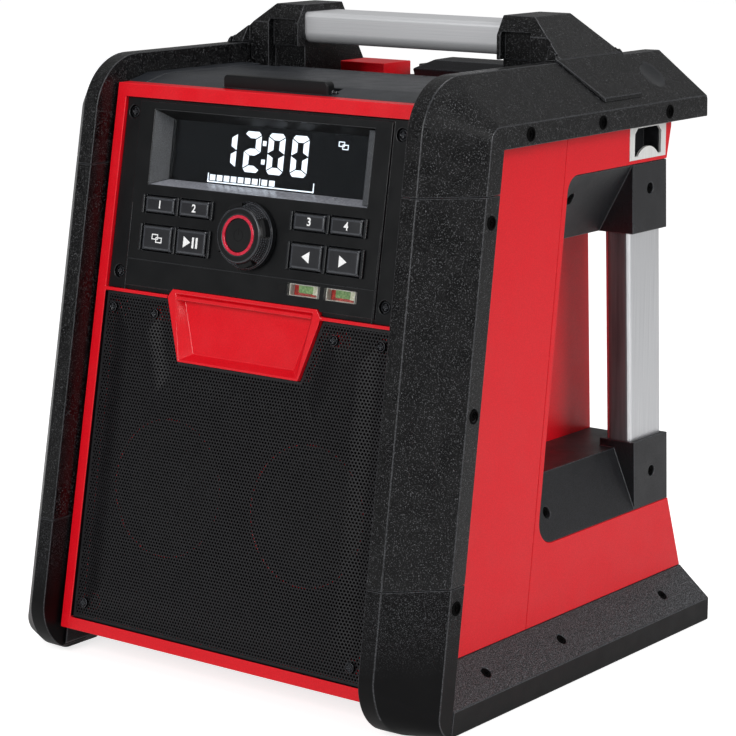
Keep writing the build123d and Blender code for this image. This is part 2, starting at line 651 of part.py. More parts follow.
def floor_opening():
    """Opening over the base tray, for the power supply."""
    front = panel_y(0, TRAY_SETBACK + 2 * BASE_RIB)
    return block((-FLOOR_HALF, FLOOR_HALF), (front, REAR_Y - FLOOR_REACH), (0, STRIP_Z - 4))


def screw_tunnels():
    """Holes in the side walls for the bumper screws."""
    cuts = Part()
    for y, z in flange_screw_spots():
        cuts += splayed(rod_x((SIDE_X - 20, SIDE_X + 20), y, z, BIG_SCREW_R + 0.2))
    return both(cuts)


def rear_profile(skin, bottom, top, seam):
    """(y, z) outline of the rear housing, inset by a skin thickness."""
    flare = (REAR_Y - rear_y(STRIP_Z)) * 0.96
    back = [(rear_y(STRIP_Z, flare - skin), bottom), (rear_y(REAR_FLARE_Z, -skin), REAR_FLARE_Z)]
    back += [(rear_y(RECESS_Z[1], -skin), RECESS_Z[1]), (TOP_REAR_Y - skin, RECESS_Z[1] + 22)]
    back.append((TOP_REAR_Y - skin, top))
    return [(seam_y(bottom, seam), bottom)] + back + [(seam_y(top, seam), top)]


def rear_core(skin, seam):
    """Body of the rear housing, inset by a skin thickness."""
    wide = prism_x(rear_profile(skin, STRIP_Z + FIT + skin, SHOULDER_Z - skin, seam),
                   -SIDE_X + skin, SIDE_X - skin)
    half = bezel_x(SHOULDER_Z, skin)
    tall = prism_x(rear_profile(skin, BEZEL_LOW_V * LEAN_COS + skin, WELL_Z - FIT - skin, seam),
                   -half, half)
    return wide + tall


def recess_cut(grow=0.0, inner=RECESS_X):
    """Hand recess in the right-hand side, open to the side and the back."""
    low, high = RECESS_Z[0] - grow, RECESS_Z[1] + grow
    land = RECESS_LAND - grow
    face = outline([(seam_y(low, land), low), (REAR_Y + 20, low), (REAR_Y + 20, high),
                    (seam_y(high, land), high)])
    corners = face.vertices().sort_by(Axis.X)[:2].sort_by(Axis.Y)
    face = fillet(corners[0], RECESS_RADII[0])
    corner = face.vertices().filter_by(lambda p: abs(p.Y - high) < 0.01).sort_by(Axis.X)[0]
    face = fillet(corner, RECESS_RADII[1])
    return extrude(Plane.YZ.offset(inner - grow) * face, amount=SIDE_X + 20 - inner + grow)


def bay_box(grow):
    """Battery bay, grown by its wall."""
    return block((-BAY_HALF - grow, BAY_HALF + grow),
                 (rear_y(BAY_Z[1]) - BAY_DEPTH - grow, REAR_Y), (BAY_Z[0] - grow, BAY_Z[1] + grow))


def opener_seat():
    """Centre (y, z) of the bottle opener."""
    return rear_y(350) - OPENER_SIZE[0] / 2 - 1.5, RECESS_Z[1] + 2.5 + OPENER_SIZE[1] / 2


def opener_pocket(grow, outer):
    """Pocket behind the bottle opener, grown by a wall, up to an outer X."""
    y, z = opener_seat()
    width, height = OPENER_CUT
    return block((SIDE_X - OPENER_POCKET - grow, outer),
                 (y - width / 2 - grow, y + width / 2 + grow),
                 (z - height / 2 - grow, z + height / 2 + grow))


def make_rear_housing():
    """Rear shell with hand recesses, battery bay, hump and opener pocket."""
    outer = rear_core(0, FIT)
    half = bezel_x(SHOULDER_Z)
    hump = block((HUMP_NOTCH, half), (HUMP_Y, TOP_REAR_Y), (WELL_Z - 8, RIM_Z))
    outer += both(hump)
    inner = rear_core(WALL, -5)
    walls = both(recess_cut(WALL)) + bay_box(WALL)
    behind = DOOR_PROUD - DOOR_THICK - FIT - WALL - 0.5
    shelf_z = DOOR_PIN_Z - 8 - WALL
    walls += prism_x([(rear_y(shelf_z, behind), shelf_z), (REAR_Y, shelf_z), (REAR_Y, RIM_Z),
                      (rear_y(RIM_Z, behind), RIM_Z)], -DOOR_HALF - WALL, DOOR_HALF + WALL)
    shell = outer - (inner - walls)
    shell -= both(recess_cut())
    shell -= bay_box(0)
    door_face = [(rear_y(DOOR_PIN_Z - 8, -DOOR_THICK + DOOR_PROUD - FIT), DOOR_PIN_Z - 8),
                 (REAR_Y + 20, DOOR_PIN_Z - 8), (REAR_Y + 20, RIM_Z + 5),
                 (rear_y(RIM_Z + 5, -DOOR_THICK + DOOR_PROUD - FIT), RIM_Z + 5)]
    shell -= prism_x(door_face, -DOOR_HALF - FIT, DOOR_HALF + FIT)
    cup = opener_pocket(WALL - OPENER_THICK, SIDE_X - 1)
    shell = shell + (cup & outer) - opener_pocket(0, SIDE_X + 1)
    y, z = opener_seat()
    shell -= block((SIDE_X - OPENER_THICK, SIDE_X + 1),
                   (y - OPENER_SIZE[0] / 2 - 0.1, y + OPENER_SIZE[0] / 2 + 0.1),
                   (z - OPENER_SIZE[1] / 2 - 0.1, RAIL_Z))
    shell -= inlet_body(0.1)
    shell += door_ears()
    shell -= screw_tunnels()
    for side in (-1, 1):
        for spot in board_posts():
            shell += Pos(side * spot[0], spot[1], spot[2]) * Rot(90, 0, 0) * Cylinder(3, 8)
    save("rear_housing", shell - floor_opening())


def door_ears():
    """Knuckles of the battery door's hinge that stand on the rear housing."""
    ears = Part()
    for side in (-1, 1):
        x = (side * 47 - 8, side * 47 + 8)
        ears += rod_x(x, DOOR_PIN_Y, DOOR_PIN_Z, DOOR_KNUCKLE_R)
        ears += block(x, (rear_y(DOOR_PIN_Z) - WALL - 4, DOOR_PIN_Y),
                      (DOOR_PIN_Z - DOOR_KNUCKLE_R, DOOR_PIN_Z + DOOR_KNUCKLE_R))
        ears -= rod_x((x[0] - 1, x[1] + 1), DOOR_PIN_Y, DOOR_PIN_Z, DOOR_PIN_R + 0.01)
    return ears


# ------------------------------------------------------------------ inside
def board_posts():
    """(x, y, z) of the posts that carry the main board, on the front of the battery bay."""
    y = rear_y(BAY_Z[1]) - BAY_DEPTH - WALL - 3.8
    return [(BAY_HALF - 14, y, BOARD_Z[0] + 18), (BAY_HALF - 14, y, BOARD_Z[1] - 18)]


def inlet_body(grow):
    """Mains inlet in the flared part of the back wall."""
    x, z = INLET_X, INLET_Z
    width, height = INLET_BODY[0] / 2 + grow, INLET_BODY[1] / 2 + grow
    return block((x - width, x + width), (rear_y(z) - 16, REAR_Y), (z - height, z + height))


def make_inside():
    """Board, power supply, terminals, inlet and USB port."""
    y = board_posts()[0][1] - 4
    half = BAY_HALF + BOARD_MARGIN
    board = block((-half, half), (y - BOARD_THICK - 0.1, y - 0.1), BOARD_Z)
    for side in (-1, 1):
        for x, _, z in board_posts():
            board += Pos(side * x, y - 3.4, z) * Rot(90, 0, 0) * Cylinder(3, 3.4)
    for x, z, w, h in ((-30, 180, 34, 34), (32, 240, 26, 40), (20, 150, 40, 22), (-28, 262, 30, 30)):
        board += block((x - w / 2, x + w / 2), (y - 8, y - 1.6), (z - h / 2, z + h / 2))
    save("main_board", board)
    floor = GROUND_GAP + BASE_FLOOR + 0.1
    base_top, fin_top = floor + SUPPLY_FIN[0], floor + SUPPLY_FIN[1]
    supply_y = (panel_y(0, DEPTH * 0.42), panel_y(0, DEPTH * 0.67))
    supply = block((-SUPPLY_HALF, SUPPLY_HALF), supply_y, (floor, base_top))
    for index in range(-3, 4):
        x = index * SUPPLY_HALF * 0.276
        supply += block((x - 2, x + 2), (supply_y[0] + 4, supply_y[1] - 4), (base_top, fin_top))
    save("power_supply", supply)
    bay_y = rear_y(BAY_Z[1]) - BAY_DEPTH
    low, high = BAY_Z[0] + TERMINAL_Z[0], BAY_Z[0] + TERMINAL_Z[1]
    terminals = block((-TERMINAL_HALF, TERMINAL_HALF), (bay_y + 0.1, bay_y + 16), (low, high))
    for index in (-1.5, -0.5, 0.5, 1.5):
        x = index * TERMINAL_PITCH
        terminals += block((x - 0.6, x + 0.6), (bay_y + 16, bay_y + 27), (low + 8, high - 16))
    save("battery_terminal_block", terminals)
    face = rear_y(INLET_Z) + 5
    width, height = INLET_MOUTH[0] / 2, INLET_MOUTH[1] / 2
    inlet = inlet_body(0) & block((-FOOT_X, 0), (0, face), (0, BAY_Z[0]))
    inlet -= block((INLET_X - width, INLET_X + width), (face - 13, REAR_Y),
                   (INLET_Z - height, INLET_Z + height))
    for x in (-4.3, 4.3):
        inlet += Pos(INLET_X + x, face - 13 + 4.5, INLET_Z) * Rot(90, 0, 0) * Cylinder(1.2, 9)
    save("mains_inlet", inlet)
    save("usb_port", usb_port())


def usb_port():
    """USB socket in the front wall of the storage bin."""
    y = bin_front() + BIN_WALL
    z = DECK_SEAT_Z - BIN_DEPTH / 2
    body = block((-9, 9), (y - BIN_WALL - 0.2, y + 11), (z - 5.5, z + 5.5))
    slot = block((-6.3, 6.3), (y + 1.5, y + 12), (z - 2.6, z + 2.6))
    tongue = block((-5.4, 5.4), (y + 1, y + 9), (z + 0.4, z + 1.8))
    return body - slot + tongue


# ------------------------------------------------------------------ deck, bin and lid
def bin_front():
    """Y of the outside of the bin's front wall."""
    return LID_FRONT_Y + 14


def bin_back():
    """Y of the outside of the bin's back wall."""
    return HINGE_Y - 12


def make_deck():
    """Top deck with the lid frame, the hand well and the hinge knuckles."""
    half = bezel_x(SHOULDER_Z) + 1.2
    front = LID_FRONT_Y
    lid_floor = LID_Z - LID_THICK - FIT
    profile = [(front, DECK_SEAT_Z + FIT), (front, lid_floor), (WELL_Y, lid_floor),
               (WELL_Y, WELL_Z + 2.2), (HUMP_Y - FIT, WELL_Z + 2.2), (HUMP_Y - FIT, WELL_Z),
               (seam_y(DECK_SEAT_Z, FIT), WELL_Z), (seam_y(DECK_SEAT_Z, FIT), DECK_SEAT_Z + FIT)]
    deck = prism_x(profile, -half, half)
    cheek = [(front, DECK_SEAT_Z + FIT), (front, RIM_Z), (front + LID_SLOPE, LID_Z),
             (WELL_Y, LID_Z), (WELL_Y, DECK_SEAT_Z + FIT)]
    deck += both(prism_x(cheek, LID_HALF + FIT, half))
    mouth = BIN_HALF - BIN_WALL
    deck -= block((-mouth, mouth), (bin_front() + BIN_WALL, bin_back() - BIN_WALL),
                  (0, 2 * RAIL_Z))
    for x in knuckles(False):
        deck += rod_x(x, HINGE_Y, HINGE_Z, LID_KNUCKLE_R)
        deck += block(x, (HINGE_Y - 2.5, HINGE_Y + 2.5), (lid_floor - 1, HINGE_Z - 2))
    deck -= rod_x((-LID_HALF, LID_HALF), HINGE_Y, HINGE_Z, LID_PIN_R + 0.02)
    for x in knuckles(True):
        deck -= rod_x((x[0] - FIT, x[1] + FIT), HINGE_Y, HINGE_Z, LID_KNUCKLE_R + FIT)
    save("top_deck", deck)
    save("lid_hinge_pin", rod_x((-LID_HALF + 6, LID_HALF - 6), HINGE_Y, HINGE_Z, LID_PIN_R))


def knuckles(on_lid):
    """X spans of the hinge knuckles that stand on the lid, or on the deck."""
    spans = []
    count = int((LID_HALF - 8) * 2 / KNUCKLE_PITCH)
    count -= 1 - count % 2
    start = -count * KNUCKLE_PITCH / 2
    for index in range(count):
        low = start + index * KNUCKLE_PITCH
        if (index % 2 == 1) == on_lid:
            spans.append((low + FIT / 2, low + KNUCKLE_PITCH - FIT / 2))
    return spans


def make_bin():
    """Storage bin under the lid."""
    top = DECK_SEAT_Z + FIT - 0.1
    front, back = bin_front(), bin_back()
    low = top - BIN_DEPTH
    tub = block((-BIN_HALF, BIN_HALF), (front, back), (low, top))
    tub -= block((-BIN_HALF + BIN_WALL, BIN_HALF - BIN_WALL), (front + BIN_WALL, back - BIN_WALL),
                 (low + BIN_WALL, top + 1))
    z = DECK_SEAT_Z - BIN_DEPTH / 2
    tub -= block((-9.1, 9.1), (front - 1, front + BIN_WALL + 1), (z - 5.6, z + 5.6))
    save("storage_bin", tub)


def make_lid():
    """Storage lid with its knuckles, gasket and latch."""
    front = LID_FRONT_Y
    back = HINGE_Y - LID_KNUCKLE_R - 0.4
    low = LID_Z - LID_THICK
    profile = [(front, low), (front, RIM_Z), (front + LID_SLOPE, LID_Z), (back, LID_Z), (back, low)]
    lid = prism_x(profile, -LID_HALF, LID_HALF)
    for x in knuckles(True):
        lid += rod_x(x, HINGE_Y, HINGE_Z, LID_KNUCKLE_R)
        lid += block(x, (back - 1, HINGE_Y), (HINGE_Z + 0.6, LID_Z))
    for x in knuckles(False):
        lid -= rod_x((x[0] - FIT, x[1] + FIT), HINGE_Y, HINGE_Z, LID_KNUCKLE_R + FIT)
    lid -= rod_x((-LID_HALF, LID_HALF), HINGE_Y, HINGE_Z, LID_PIN_R + RUNNING)
    notch = LATCH_HALF + 0.5
    lid -= block((-notch, notch), (front - 1, front + 2 * LATCH_DEPTH + 1), (0, 2 * RAIL_Z))
    pivot_y, pivot_z = latch_pivot()
    lid -= both(rod_x((notch - 1, notch + 4), pivot_y, pivot_z, LATCH_PIVOT_R + RUNNING))
    groove = [(-BIN_HALF - 5, bin_front() - 3), (BIN_HALF + 5, HINGE_Y - 8)]
    save("storage_lid", lid - gasket(groove, low, 1.6, 0.1))
    save("lid_seal", gasket(groove, low, 1.5, 0.0))
    bar = block((-LATCH_HALF, LATCH_HALF), (front + 0.4, front + 0.4 + LATCH_DEPTH),
                (low + 1.2, LATCH_TOP_Z))
    edges = bar.edges().filter_by(Axis.Y)
    bar = fillet(edges.sort_by(Axis.Z)[-2:], 3.0)
    bar = fillet(bar.edges().filter_by(Axis.X).sort_by(Axis.Z)[-2:], 1.2)
    bar += rod_x((-notch - 3, notch + 3), pivot_y, pivot_z, LATCH_PIVOT_R)
    save("lid_latch", bar)


def latch_pivot():
    """(y, z) of the lid latch's pivot."""
    return LID_FRONT_Y + LATCH_DEPTH - 1.4, LID_Z - 2.7


def gasket(corners, low, height, grow):
    """Square ring on the underside of the lid."""
    (x0, y0), (x1, y1) = corners
    y0 = max(y0, LID_FRONT_Y + 2 * LATCH_DEPTH + 2.5)
    outer = block((x0 - grow, x1 + grow), (y0 - grow, y1 + grow), (low - 0.1, low + height))
    inner = block((x0 + 3 + grow, x1 - 3 - grow), (y0 + 3 + grow, y1 - 3 - grow),
                  (low - 1, low + height + 1))
    return outer - inner


# ------------------------------------------------------------------ battery door
def make_door():
    """Battery door with its hinge pin and domed latch."""
    back = DOOR_PROUD
    inner = DOOR_PROUD - DOOR_THICK
    low = DOOR_PIN_Z + DOOR_KNUCKLE_R + 1.5
    profile = [(rear_y(low, inner), low), (rear_y(low, back), low),
               (rear_y(DOOR_TOP_Z, back), DOOR_TOP_Z), (rear_y(DOOR_TOP_Z, inner), DOOR_TOP_Z)]
    door = prism_x(profile, -DOOR_HALF, DOOR_HALF)
    upright = door.edges().sort_by(SortBy.LENGTH)[-4:]
    door = chamfer(upright.sort_by(Axis.Y)[-2:], 3.0)
    inside = [(rear_y(low + 10, inner - 1), low + 10), (rear_y(low + 10, back - 3), low + 10),
              (rear_y(DOOR_TOP_Z - 20, back - 3), DOOR_TOP_Z - 20),
              (rear_y(DOOR_TOP_Z - 20, inner - 1), DOOR_TOP_Z - 20)]
    for x in ((-DOOR_HALF + 6, -2), (2, DOOR_HALF - 6)):
        door -= prism_x(inside, *x)
    knuckle = (-36, 36)
    door += rod_x(knuckle, DOOR_PIN_Y, DOOR_PIN_Z, DOOR_KNUCKLE_R)
    door += block(knuckle, (DOOR_PIN_Y - 2.5, DOOR_PIN_Y + 2.5), (DOOR_PIN_Z, low + 2))
    door -= rod_x((-40, 40), DOOR_PIN_Y, DOOR_PIN_Z, DOOR_PIN_R + RUNNING)
    pivot_y, pivot_z = door_latch_pivot()
    for side in (-1, 1):
        x = sorted((side * (DOOR_LATCH_HALF + 0.6), side * (DOOR_LATCH_HALF + 6)))
        foot = DOOR_TOP_Z - 12
        door += block(x, (rear_y(foot, inner), pivot_y + 4), (foot, pivot_z + 4))
        door -= rod_x((x[0] - 2, x[1] + 2), pivot_y, pivot_z, 1.5 + RUNNING)
    save("battery_door", door)
    save("door_hinge_pin", rod_x((-54, 54), DOOR_PIN_Y, DOOR_PIN_Z, DOOR_PIN_R))
    save("door_latch", door_latch())


def door_latch_pivot():
    """(y, z) of the door latch's pivot."""
    return rear_y(DOOR_TOP_Z, DOOR_PROUD + 3), DOOR_TOP_Z + 4.6


def door_latch():
    """Domed latch that wraps over the top of the door."""
    pivot_y, pivot_z = door_latch_pivot()
    front = pivot_y - DOOR_LATCH_REACH
    top = DOOR_LATCH_TOP_Z
    profile = [(front, top - 9), (front + 5, top - 2.2), (front + 12, top), (pivot_y - 2, top - 1.5),
               (pivot_y + 5, top - 6), (pivot_y + 6, pivot_z - 7), (pivot_y + 3.5, pivot_z - 8),
               (pivot_y + 3.5, pivot_z - 5), (pivot_y - 8, pivot_z - 3.6), (front + 2, pivot_z - 3.6)]
    latch = prism_x(profile, -DOOR_LATCH_HALF, DOOR_LATCH_HALF)
    crown = [(-DOOR_LATCH_HALF, top - 40), (-DOOR_LATCH_HALF, top - 9), (-DOOR_LATCH_HALF + 16, top - 2),
             (-DOOR_LATCH_HALF + 30, top + 0.5), (DOOR_LATCH_HALF - 30, top + 0.5),
             (DOOR_LATCH_HALF - 16, top - 2), (DOOR_LATCH_HALF, top - 9), (DOOR_LATCH_HALF, top - 40)]
    latch = latch & prism_y(crown, front - 5, pivot_y + 20)
    reach = DOOR_LATCH_HALF + 5
    return latch + rod_x((-reach, reach), pivot_y, pivot_z, 1.5)


# ------------------------------------------------------------------ handle and grips
def tube_section(inner, grow=0.0):
    """Rounded section of the grip extrusion; its hard corners point to local +y."""
    trim = TUBE_WALL if inner else -grow
    width, height = TUBE_LONG - 2 * trim, TUBE_SHORT - 2 * trim
    face = Rectangle(width, height)
    top = face.vertices().sort_by(Axis.Y)[-2:]
    face = fillet(top, max(TUBE_HARD_R - trim, 0.8))
    bottom = face.vertices().sort_by(Axis.Y)[:2]
    return fillet(bottom, TUBE_SOFT_R - trim)


def handle_plane(x):
    """Section plane of the top handle, z along +X."""
    return Plane(origin=(x, HANDLE_Y, HANDLE_TUBE_Z), x_dir=(0, 1, 0), z_dir=(1, 0, 0))


def make_handle():
    """Top handle tube and its two brackets."""
    end = BRACKET_X[0] + HANDLE_SOCKET
    tube = extrude(handle_plane(-end) * tube_section(False), amount=2 * end)
    tube -= extrude(handle_plane(-end - 1) * tube_section(True), amount=2 * end + 2)
    save("top_handle_tube", tube)
    socket = extrude(handle_plane(BRACKET_X[0] - 1) * tube_section(False, 0.1),
                     amount=HANDLE_SOCKET + 1.2)
    bracket = handle_bracket() - socket
    save("handle_bracket_right", bracket)
    save("handle_bracket_left", mirrored(bracket))


def rail_x(z):
    """X of the ridge of the splayed bumper at height z."""
    return RIDGE_X - z * tan(radians(SPLAY))


def handle_bracket():
    """Right-hand bracket: sloped block, arched front pocket and a tongue down the bevel."""
    ridge = rail_x(RAIL_Z)
    inner, outer = BRACKET_X
    top = BRACKET_TOP_Z
    seat = RAIL_Z + FIT
    step = ridge - STRIP - 0.6
    floor = WELL_Z + 2.2 + 0.1
    front_view = [(inner, floor), (inner, top), (outer, top), (ridge + 0.6, seat + TONGUE_RAISE - 0.4),
                  (ridge, seat), (step, seat), (step, floor)]
    half = BRACKET_TOP_DEPTH / 2
    spread = half + (top - floor) * BRACKET_SLOPE
    side_view = [(HANDLE_Y - half, top), (HANDLE_Y + half, top), (HANDLE_Y + spread, floor),
                 (HANDLE_Y - spread, floor)]
    side_view[3:] = [(HANDLE_Y - spread, floor)]
    body = prism_y(front_view, HANDLE_Y - 70, HANDLE_Y + 70) & prism_x(side_view, 0, FOOT_X)
    limit_back = HUMP_Y - 2 * FIT
    limit_front = WELL_Y + FIT
    body -= block((0, FOOT_X), (limit_back, REAR_Y), (0, RAIL_Z - 2))
    body -= block((0, step + 1), (-DEPTH, HANDLE_Y - 29.5), (0, top - 8))
    body -= block((0, outer + 1.5), (-DEPTH, HANDLE_Y - 21.5), (0, seat - 2))
    body -= block((0, step + 1), (-DEPTH, limit_front), (0, seat - 2))
    body -= block((0, step + 1), (HANDLE_Y + BRACKET_LOBE, REAR_Y), (0, RIM_Z + BRACKET_TAIL))
    arch = [(inner + 3, 0), (inner + 3, top - 10.5), (outer + 1.5, top - 10.5), (outer + 1.5, 0)]
    pocket_back = HANDLE_Y - TUBE_LONG / 2 - 2.4
    body -= prism_y(arch, HANDLE_Y - 80, pocket_back)
    return body + splayed(bevel_tongue())


def bevel_tongue():
    """Raised tongue that lies on the bevel, before the splay."""
    offset = FIT * 0.9
    raise_by = TONGUE_RAISE * 1.414
    top = (RIDGE_X, RAIL_Z + offset)
    reach = 26.5
    section = [(top[0] - 2, top[1]), (top[0] + 0.1, top[1]), (top[0] + reach, top[1] - reach),
               (top[0] + reach, top[1] - reach + raise_by), (top[0] - 2, top[1] + raise_by + 1.0)]
    wide, narrow = 40.0, 23.0
    plan = [(RIDGE_X - 4, HANDLE_Y - wide), (RIDGE_X - 4, HANDLE_Y + wide),
            (RIDGE_X, HANDLE_Y + wide), (RIDGE_X + reach, HANDLE_Y + narrow),
            (RIDGE_X + reach + 1, HANDLE_Y + narrow), (RIDGE_X + reach + 1, HANDLE_Y - narrow),
            (RIDGE_X + reach, HANDLE_Y - narrow), (RIDGE_X, HANDLE_Y - wide)]
    walls = extrude(Plane.XY * outline(plan), amount=2 * RAIL_Z)
    return prism_y(section, HANDLE_Y - 60, HANDLE_Y + 60) & walls


def grip_axis(z):
    """Y of the centre of the side grip at height z."""
    return rear_y(z, -1.6 - TUBE_LONG / 2)


def grip_plane(z):
    """Section plane of the side grip, z up along its lean."""
    lean = radians(REAR_LEAN)
    origin = (GRIP_TUBE_X - TUBE_SHORT / 2, grip_axis(z), z)
    return Plane(origin=origin, x_dir=(0, -cos(lean), -sin(lean)), z_dir=(0, -sin(lean), cos(lean)))


def boss(low, high):
    """Leaning block that carries one end of the grip tube."""
    depth = TUBE_LONG + 2.4
    profile = [(rear_y(low, -depth - 0.4), low), (rear_y(low, -0.4), low),
               (rear_y(high, -0.4), high), (rear_y(high, -depth - 0.4), high)]
    return prism_x(profile, BOSS_INNER_X, SIDE_X)


def make_grips():
    """Grip tube and its two brackets on each side."""
    low, high = BOSS_Z
    slack = 0.15
    start, end = low - SOCKET_DEPTH, high + SOCKET_DEPTH
    length = (end - start) / cos(radians(REAR_LEAN))
    tube = extrude(grip_plane(start) * tube_section(False), amount=length)
    tube -= extrude(grip_plane(start - 1) * tube_section(True), amount=length + 2)
    bore = extrude(grip_plane(start - slack) * tube_section(False, 0.1), amount=length + 2 * slack)
    window = recess_cut(-FIT, RECESS_X)
    z0, z1 = RECESS_Z
    shelf = [(RECESS_X, z0), (SIDE_X, z0), (SIDE_X - SHELF_SLOPE, SHELF_Z), (RECESS_X, SHELF_Z)]
    soffit = [(RECESS_X, z1), (SIDE_X, z1), (SIDE_X - SOFFIT_SLOPE, high), (RECESS_X, high)]
    span = (seam_y(0, 0), REAR_Y + 10)
    behind = [(rear_y(z0, -0.6), z0 - 1), (rear_y(z1, -0.6), z1 + 1), (REAR_Y + 40, z1 + 1),
              (REAR_Y + 40, z0 - 1)]
    limit = window - prism_x(behind, 0, FOOT_X)
    lower = ((prism_y(shelf, *span) + boss(z0, low)) & limit) - bore
    upper = ((prism_y(soffit, *span) + boss(high, z1)) & limit) - bore
    room = (RECESS_X - 1, BOSS_INNER_X - 5.5)
    lower -= block(room, (seam_y(z0, 30), rear_y(z1, -12)), (z0 + 3.5, SHELF_Z - 3.5))
    upper -= block(room, (seam_y(z1, 16), rear_y(z1, -8)), (high + 3.5, z1 - 3.5))
    for seat, piece in ((lower_screw_seats(), "lower"), (upper_screw_seats(), "upper")):
        for frame in seat:
            hole = frame * (Pos(0, 0, 10) * Cylinder(BIG_HEAD_R + FIT, 20) + Cylinder(BIG_SCREW_R + 0.05, 40))
            if piece == "lower":
                lower -= hole
            else:
                upper -= hole
            if frame.origin.Y > HANDLE_Y:
                tube -= hole
    save("side_grip_tube_right", tube)
    save("side_grip_tube_left", mirrored(tube))
    save("grip_bracket_lower_right", lower)
    save("grip_bracket_lower_left", mirrored(lower))
    save("grip_bracket_upper_right", upper)
    save("grip_bracket_upper_left", mirrored(upper))
    screws = Part()
    for frame in lower_screw_seats() + upper_screw_seats():
        screws += frame * screw(BIG_SCREW_R, 11, BIG_HEAD_R, SCREW_HEAD)
    save("bracket_screws", both(screws))


def grip_screw_seats(front_z, front_x, rear_z):
    """Frames of a grip bracket's front and rear screws, z outwards."""
    front = (front_x, seam_y(front_z, RECESS_LAND) + 19, front_z)
    rear = (SIDE_X - 3.4, rear_y(rear_z) - 22, rear_z)
    return [Plane(origin=spot, x_dir=(0, 1, 0), z_dir=(1, 0, 0)) for spot in (front, rear)]


def lower_screw_seats():
    """Frames of the lower bracket's screws, z outwards."""
    return grip_screw_seats(GRIP_SCREW_Z[0], SIDE_X - 11, GRIP_SCREW_Z[1])


def upper_screw_seats():
    """Frames of the upper bracket's screws, z outwards."""
    return grip_screw_seats(GRIP_SCREW_Z[2], SIDE_X - 13, GRIP_SCREW_Z[3])


def make_opener():
    """Steel bottle opener, let into the right-hand side wall."""
    y, z = opener_seat()
    width, height = OPENER_CUT
    chord, rise = OPENER_TOOTH
    corner = height / 5
    low, high = SIDE_X - OPENER_THICK + 0.2, SIDE_X + 0.2
    plate = block((low, high), (y - OPENER_SIZE[0] / 2, y + OPENER_SIZE[0] / 2),
                  (z - OPENER_SIZE[1] / 2, z + OPENER_SIZE[1] / 2))
    mouth = [(y - width / 2, z - height / 2), (y + width / 2, z - height / 2),
             (y + width / 2, z + height / 2 - corner), (y + width / 2 - corner, z + height / 2),
             (y - width / 2 + corner, z + height / 2), (y - width / 2, z + height / 2 - corner)]
    plate -= prism_x(mouth, low - 1, high + 1)
    bow = (chord ** 2 / 4 + rise ** 2) / (2 * rise)
    arch = rod_x((low, high), y, z - height / 2 + rise - bow, bow)
    tooth = block((low, high), (y - chord / 2, y + chord / 2), (z - height / 2 - 1, z + height / 2))
    save("bottle_opener", plate + (arch & tooth))


# ------------------------------------------------------------------ control panel
def key_layout():
    """(name, u, v, height) of the eight keys."""
    rows = [(SMALL_KEY_V, SMALL_KEY_HEIGHT, ["mode", "preset", "equaliser", "clock"]),
            (LARGE_KEY_V, LARGE_KEY_HEIGHT, ["link", "play", "previous", "next"])]
    keys = []
    for v, height, names in rows:
        for index, name in enumerate(names):
            group = -KEY_GROUP_U if index < 2 else KEY_GROUP_U
            keys.append((name, group + (index % 2 - 0.5) * KEY_PITCH, v, height))
    return keys


def make_panel():
    """Control panel with its display recess, key windows, knob bore and lens windows."""
    face = PANEL_FACE
    back = face - PANEL_PLATE
    plate = prism_n(bezel_outline(BEZEL_BAND + FIT, PANEL_LOW_V + FIT, PANEL_HIGH_V - FIT), back, face)
    step = PANEL_STEP_HALF
    plate += panel_block((-step, step), (PANEL_LOW_V + 3, PANEL_HIGH_V - 2), (back, face + PANEL_STEP))
    plate -= prism_n(shield_outline(0.3), back - 1, 30)
    floor_n = face + PANEL_STEP - RECESS_DEPTH
    well = (WINDOW_HALF + 4, RECESS_LOW_V - 2, RECESS_HIGH_V + 1)
    plate += panel_block((-well[0], well[0]), (well[1], well[2]), (floor_n - 3, back + 0.5))
    mouth = [(-RECESS_HALF, RECESS_LOW_V), (RECESS_HALF, RECESS_LOW_V),
             (RECESS_HALF, RECESS_HIGH_V), (-RECESS_HALF, RECESS_HIGH_V)]
    glass = [(-WINDOW_HALF, WINDOW_LOW_V), (WINDOW_HALF, WINDOW_LOW_V),
             (WINDOW_HALF, WINDOW_HIGH_V), (-WINDOW_HALF, WINDOW_HIGH_V)]
    plate -= loft([PANEL.offset(floor_n) * outline(glass),
                   PANEL.offset(face + PANEL_STEP + 0.01) * outline(mouth)])
    plate -= prism_n(glass, floor_n - 5, floor_n + 0.5)
    for _, u, v, height in key_layout():
        w, h = KEY_WIDTH / 2 + KEY_GAP, height / 2 + KEY_GAP
        plate -= panel_block((u - w, u + w), (v - h, v + h), (back - 1, 5))
    plate -= panel_rod(0, KNOB_V, KNOB_HUB_R + 1.5, back - 1, 5)
    for u in LENS_U:
        w, h = LENS_WIDTH / 2 + 0.1, LENS_HEIGHT / 2 + 0.1
        plate -= panel_block((u - w, u + w), (LENS_V - h, LENS_V + h), (back - 1, 5))
    for side in (-1, 1):
        for v in PANEL_SCREW_V:
            plate -= panel_rod(side * PANEL_SCREW_U, v, SCREW_HEAD_R + 1.2, face - 3.2, 5)
            plate -= panel_rod(side * PANEL_SCREW_U, v, SCREW_R + 0.1, back - 1, 5)
    save("control_panel", plate)
    window = floor_n - WINDOW_THICK
    inset = 0.1
    save("display_window", panel_block((-WINDOW_HALF + inset, WINDOW_HALF - inset),
                                       (WINDOW_LOW_V + inset, WINDOW_HIGH_V - inset), (window, floor_n)))
    module = (floor_n - 3 - MODULE_THICK, floor_n - 3.1)
    save("display_module", panel_block((-WINDOW_HALF - 3, WINDOW_HALF + 3),
                                       (RECESS_LOW_V, RECESS_HIGH_V), module))


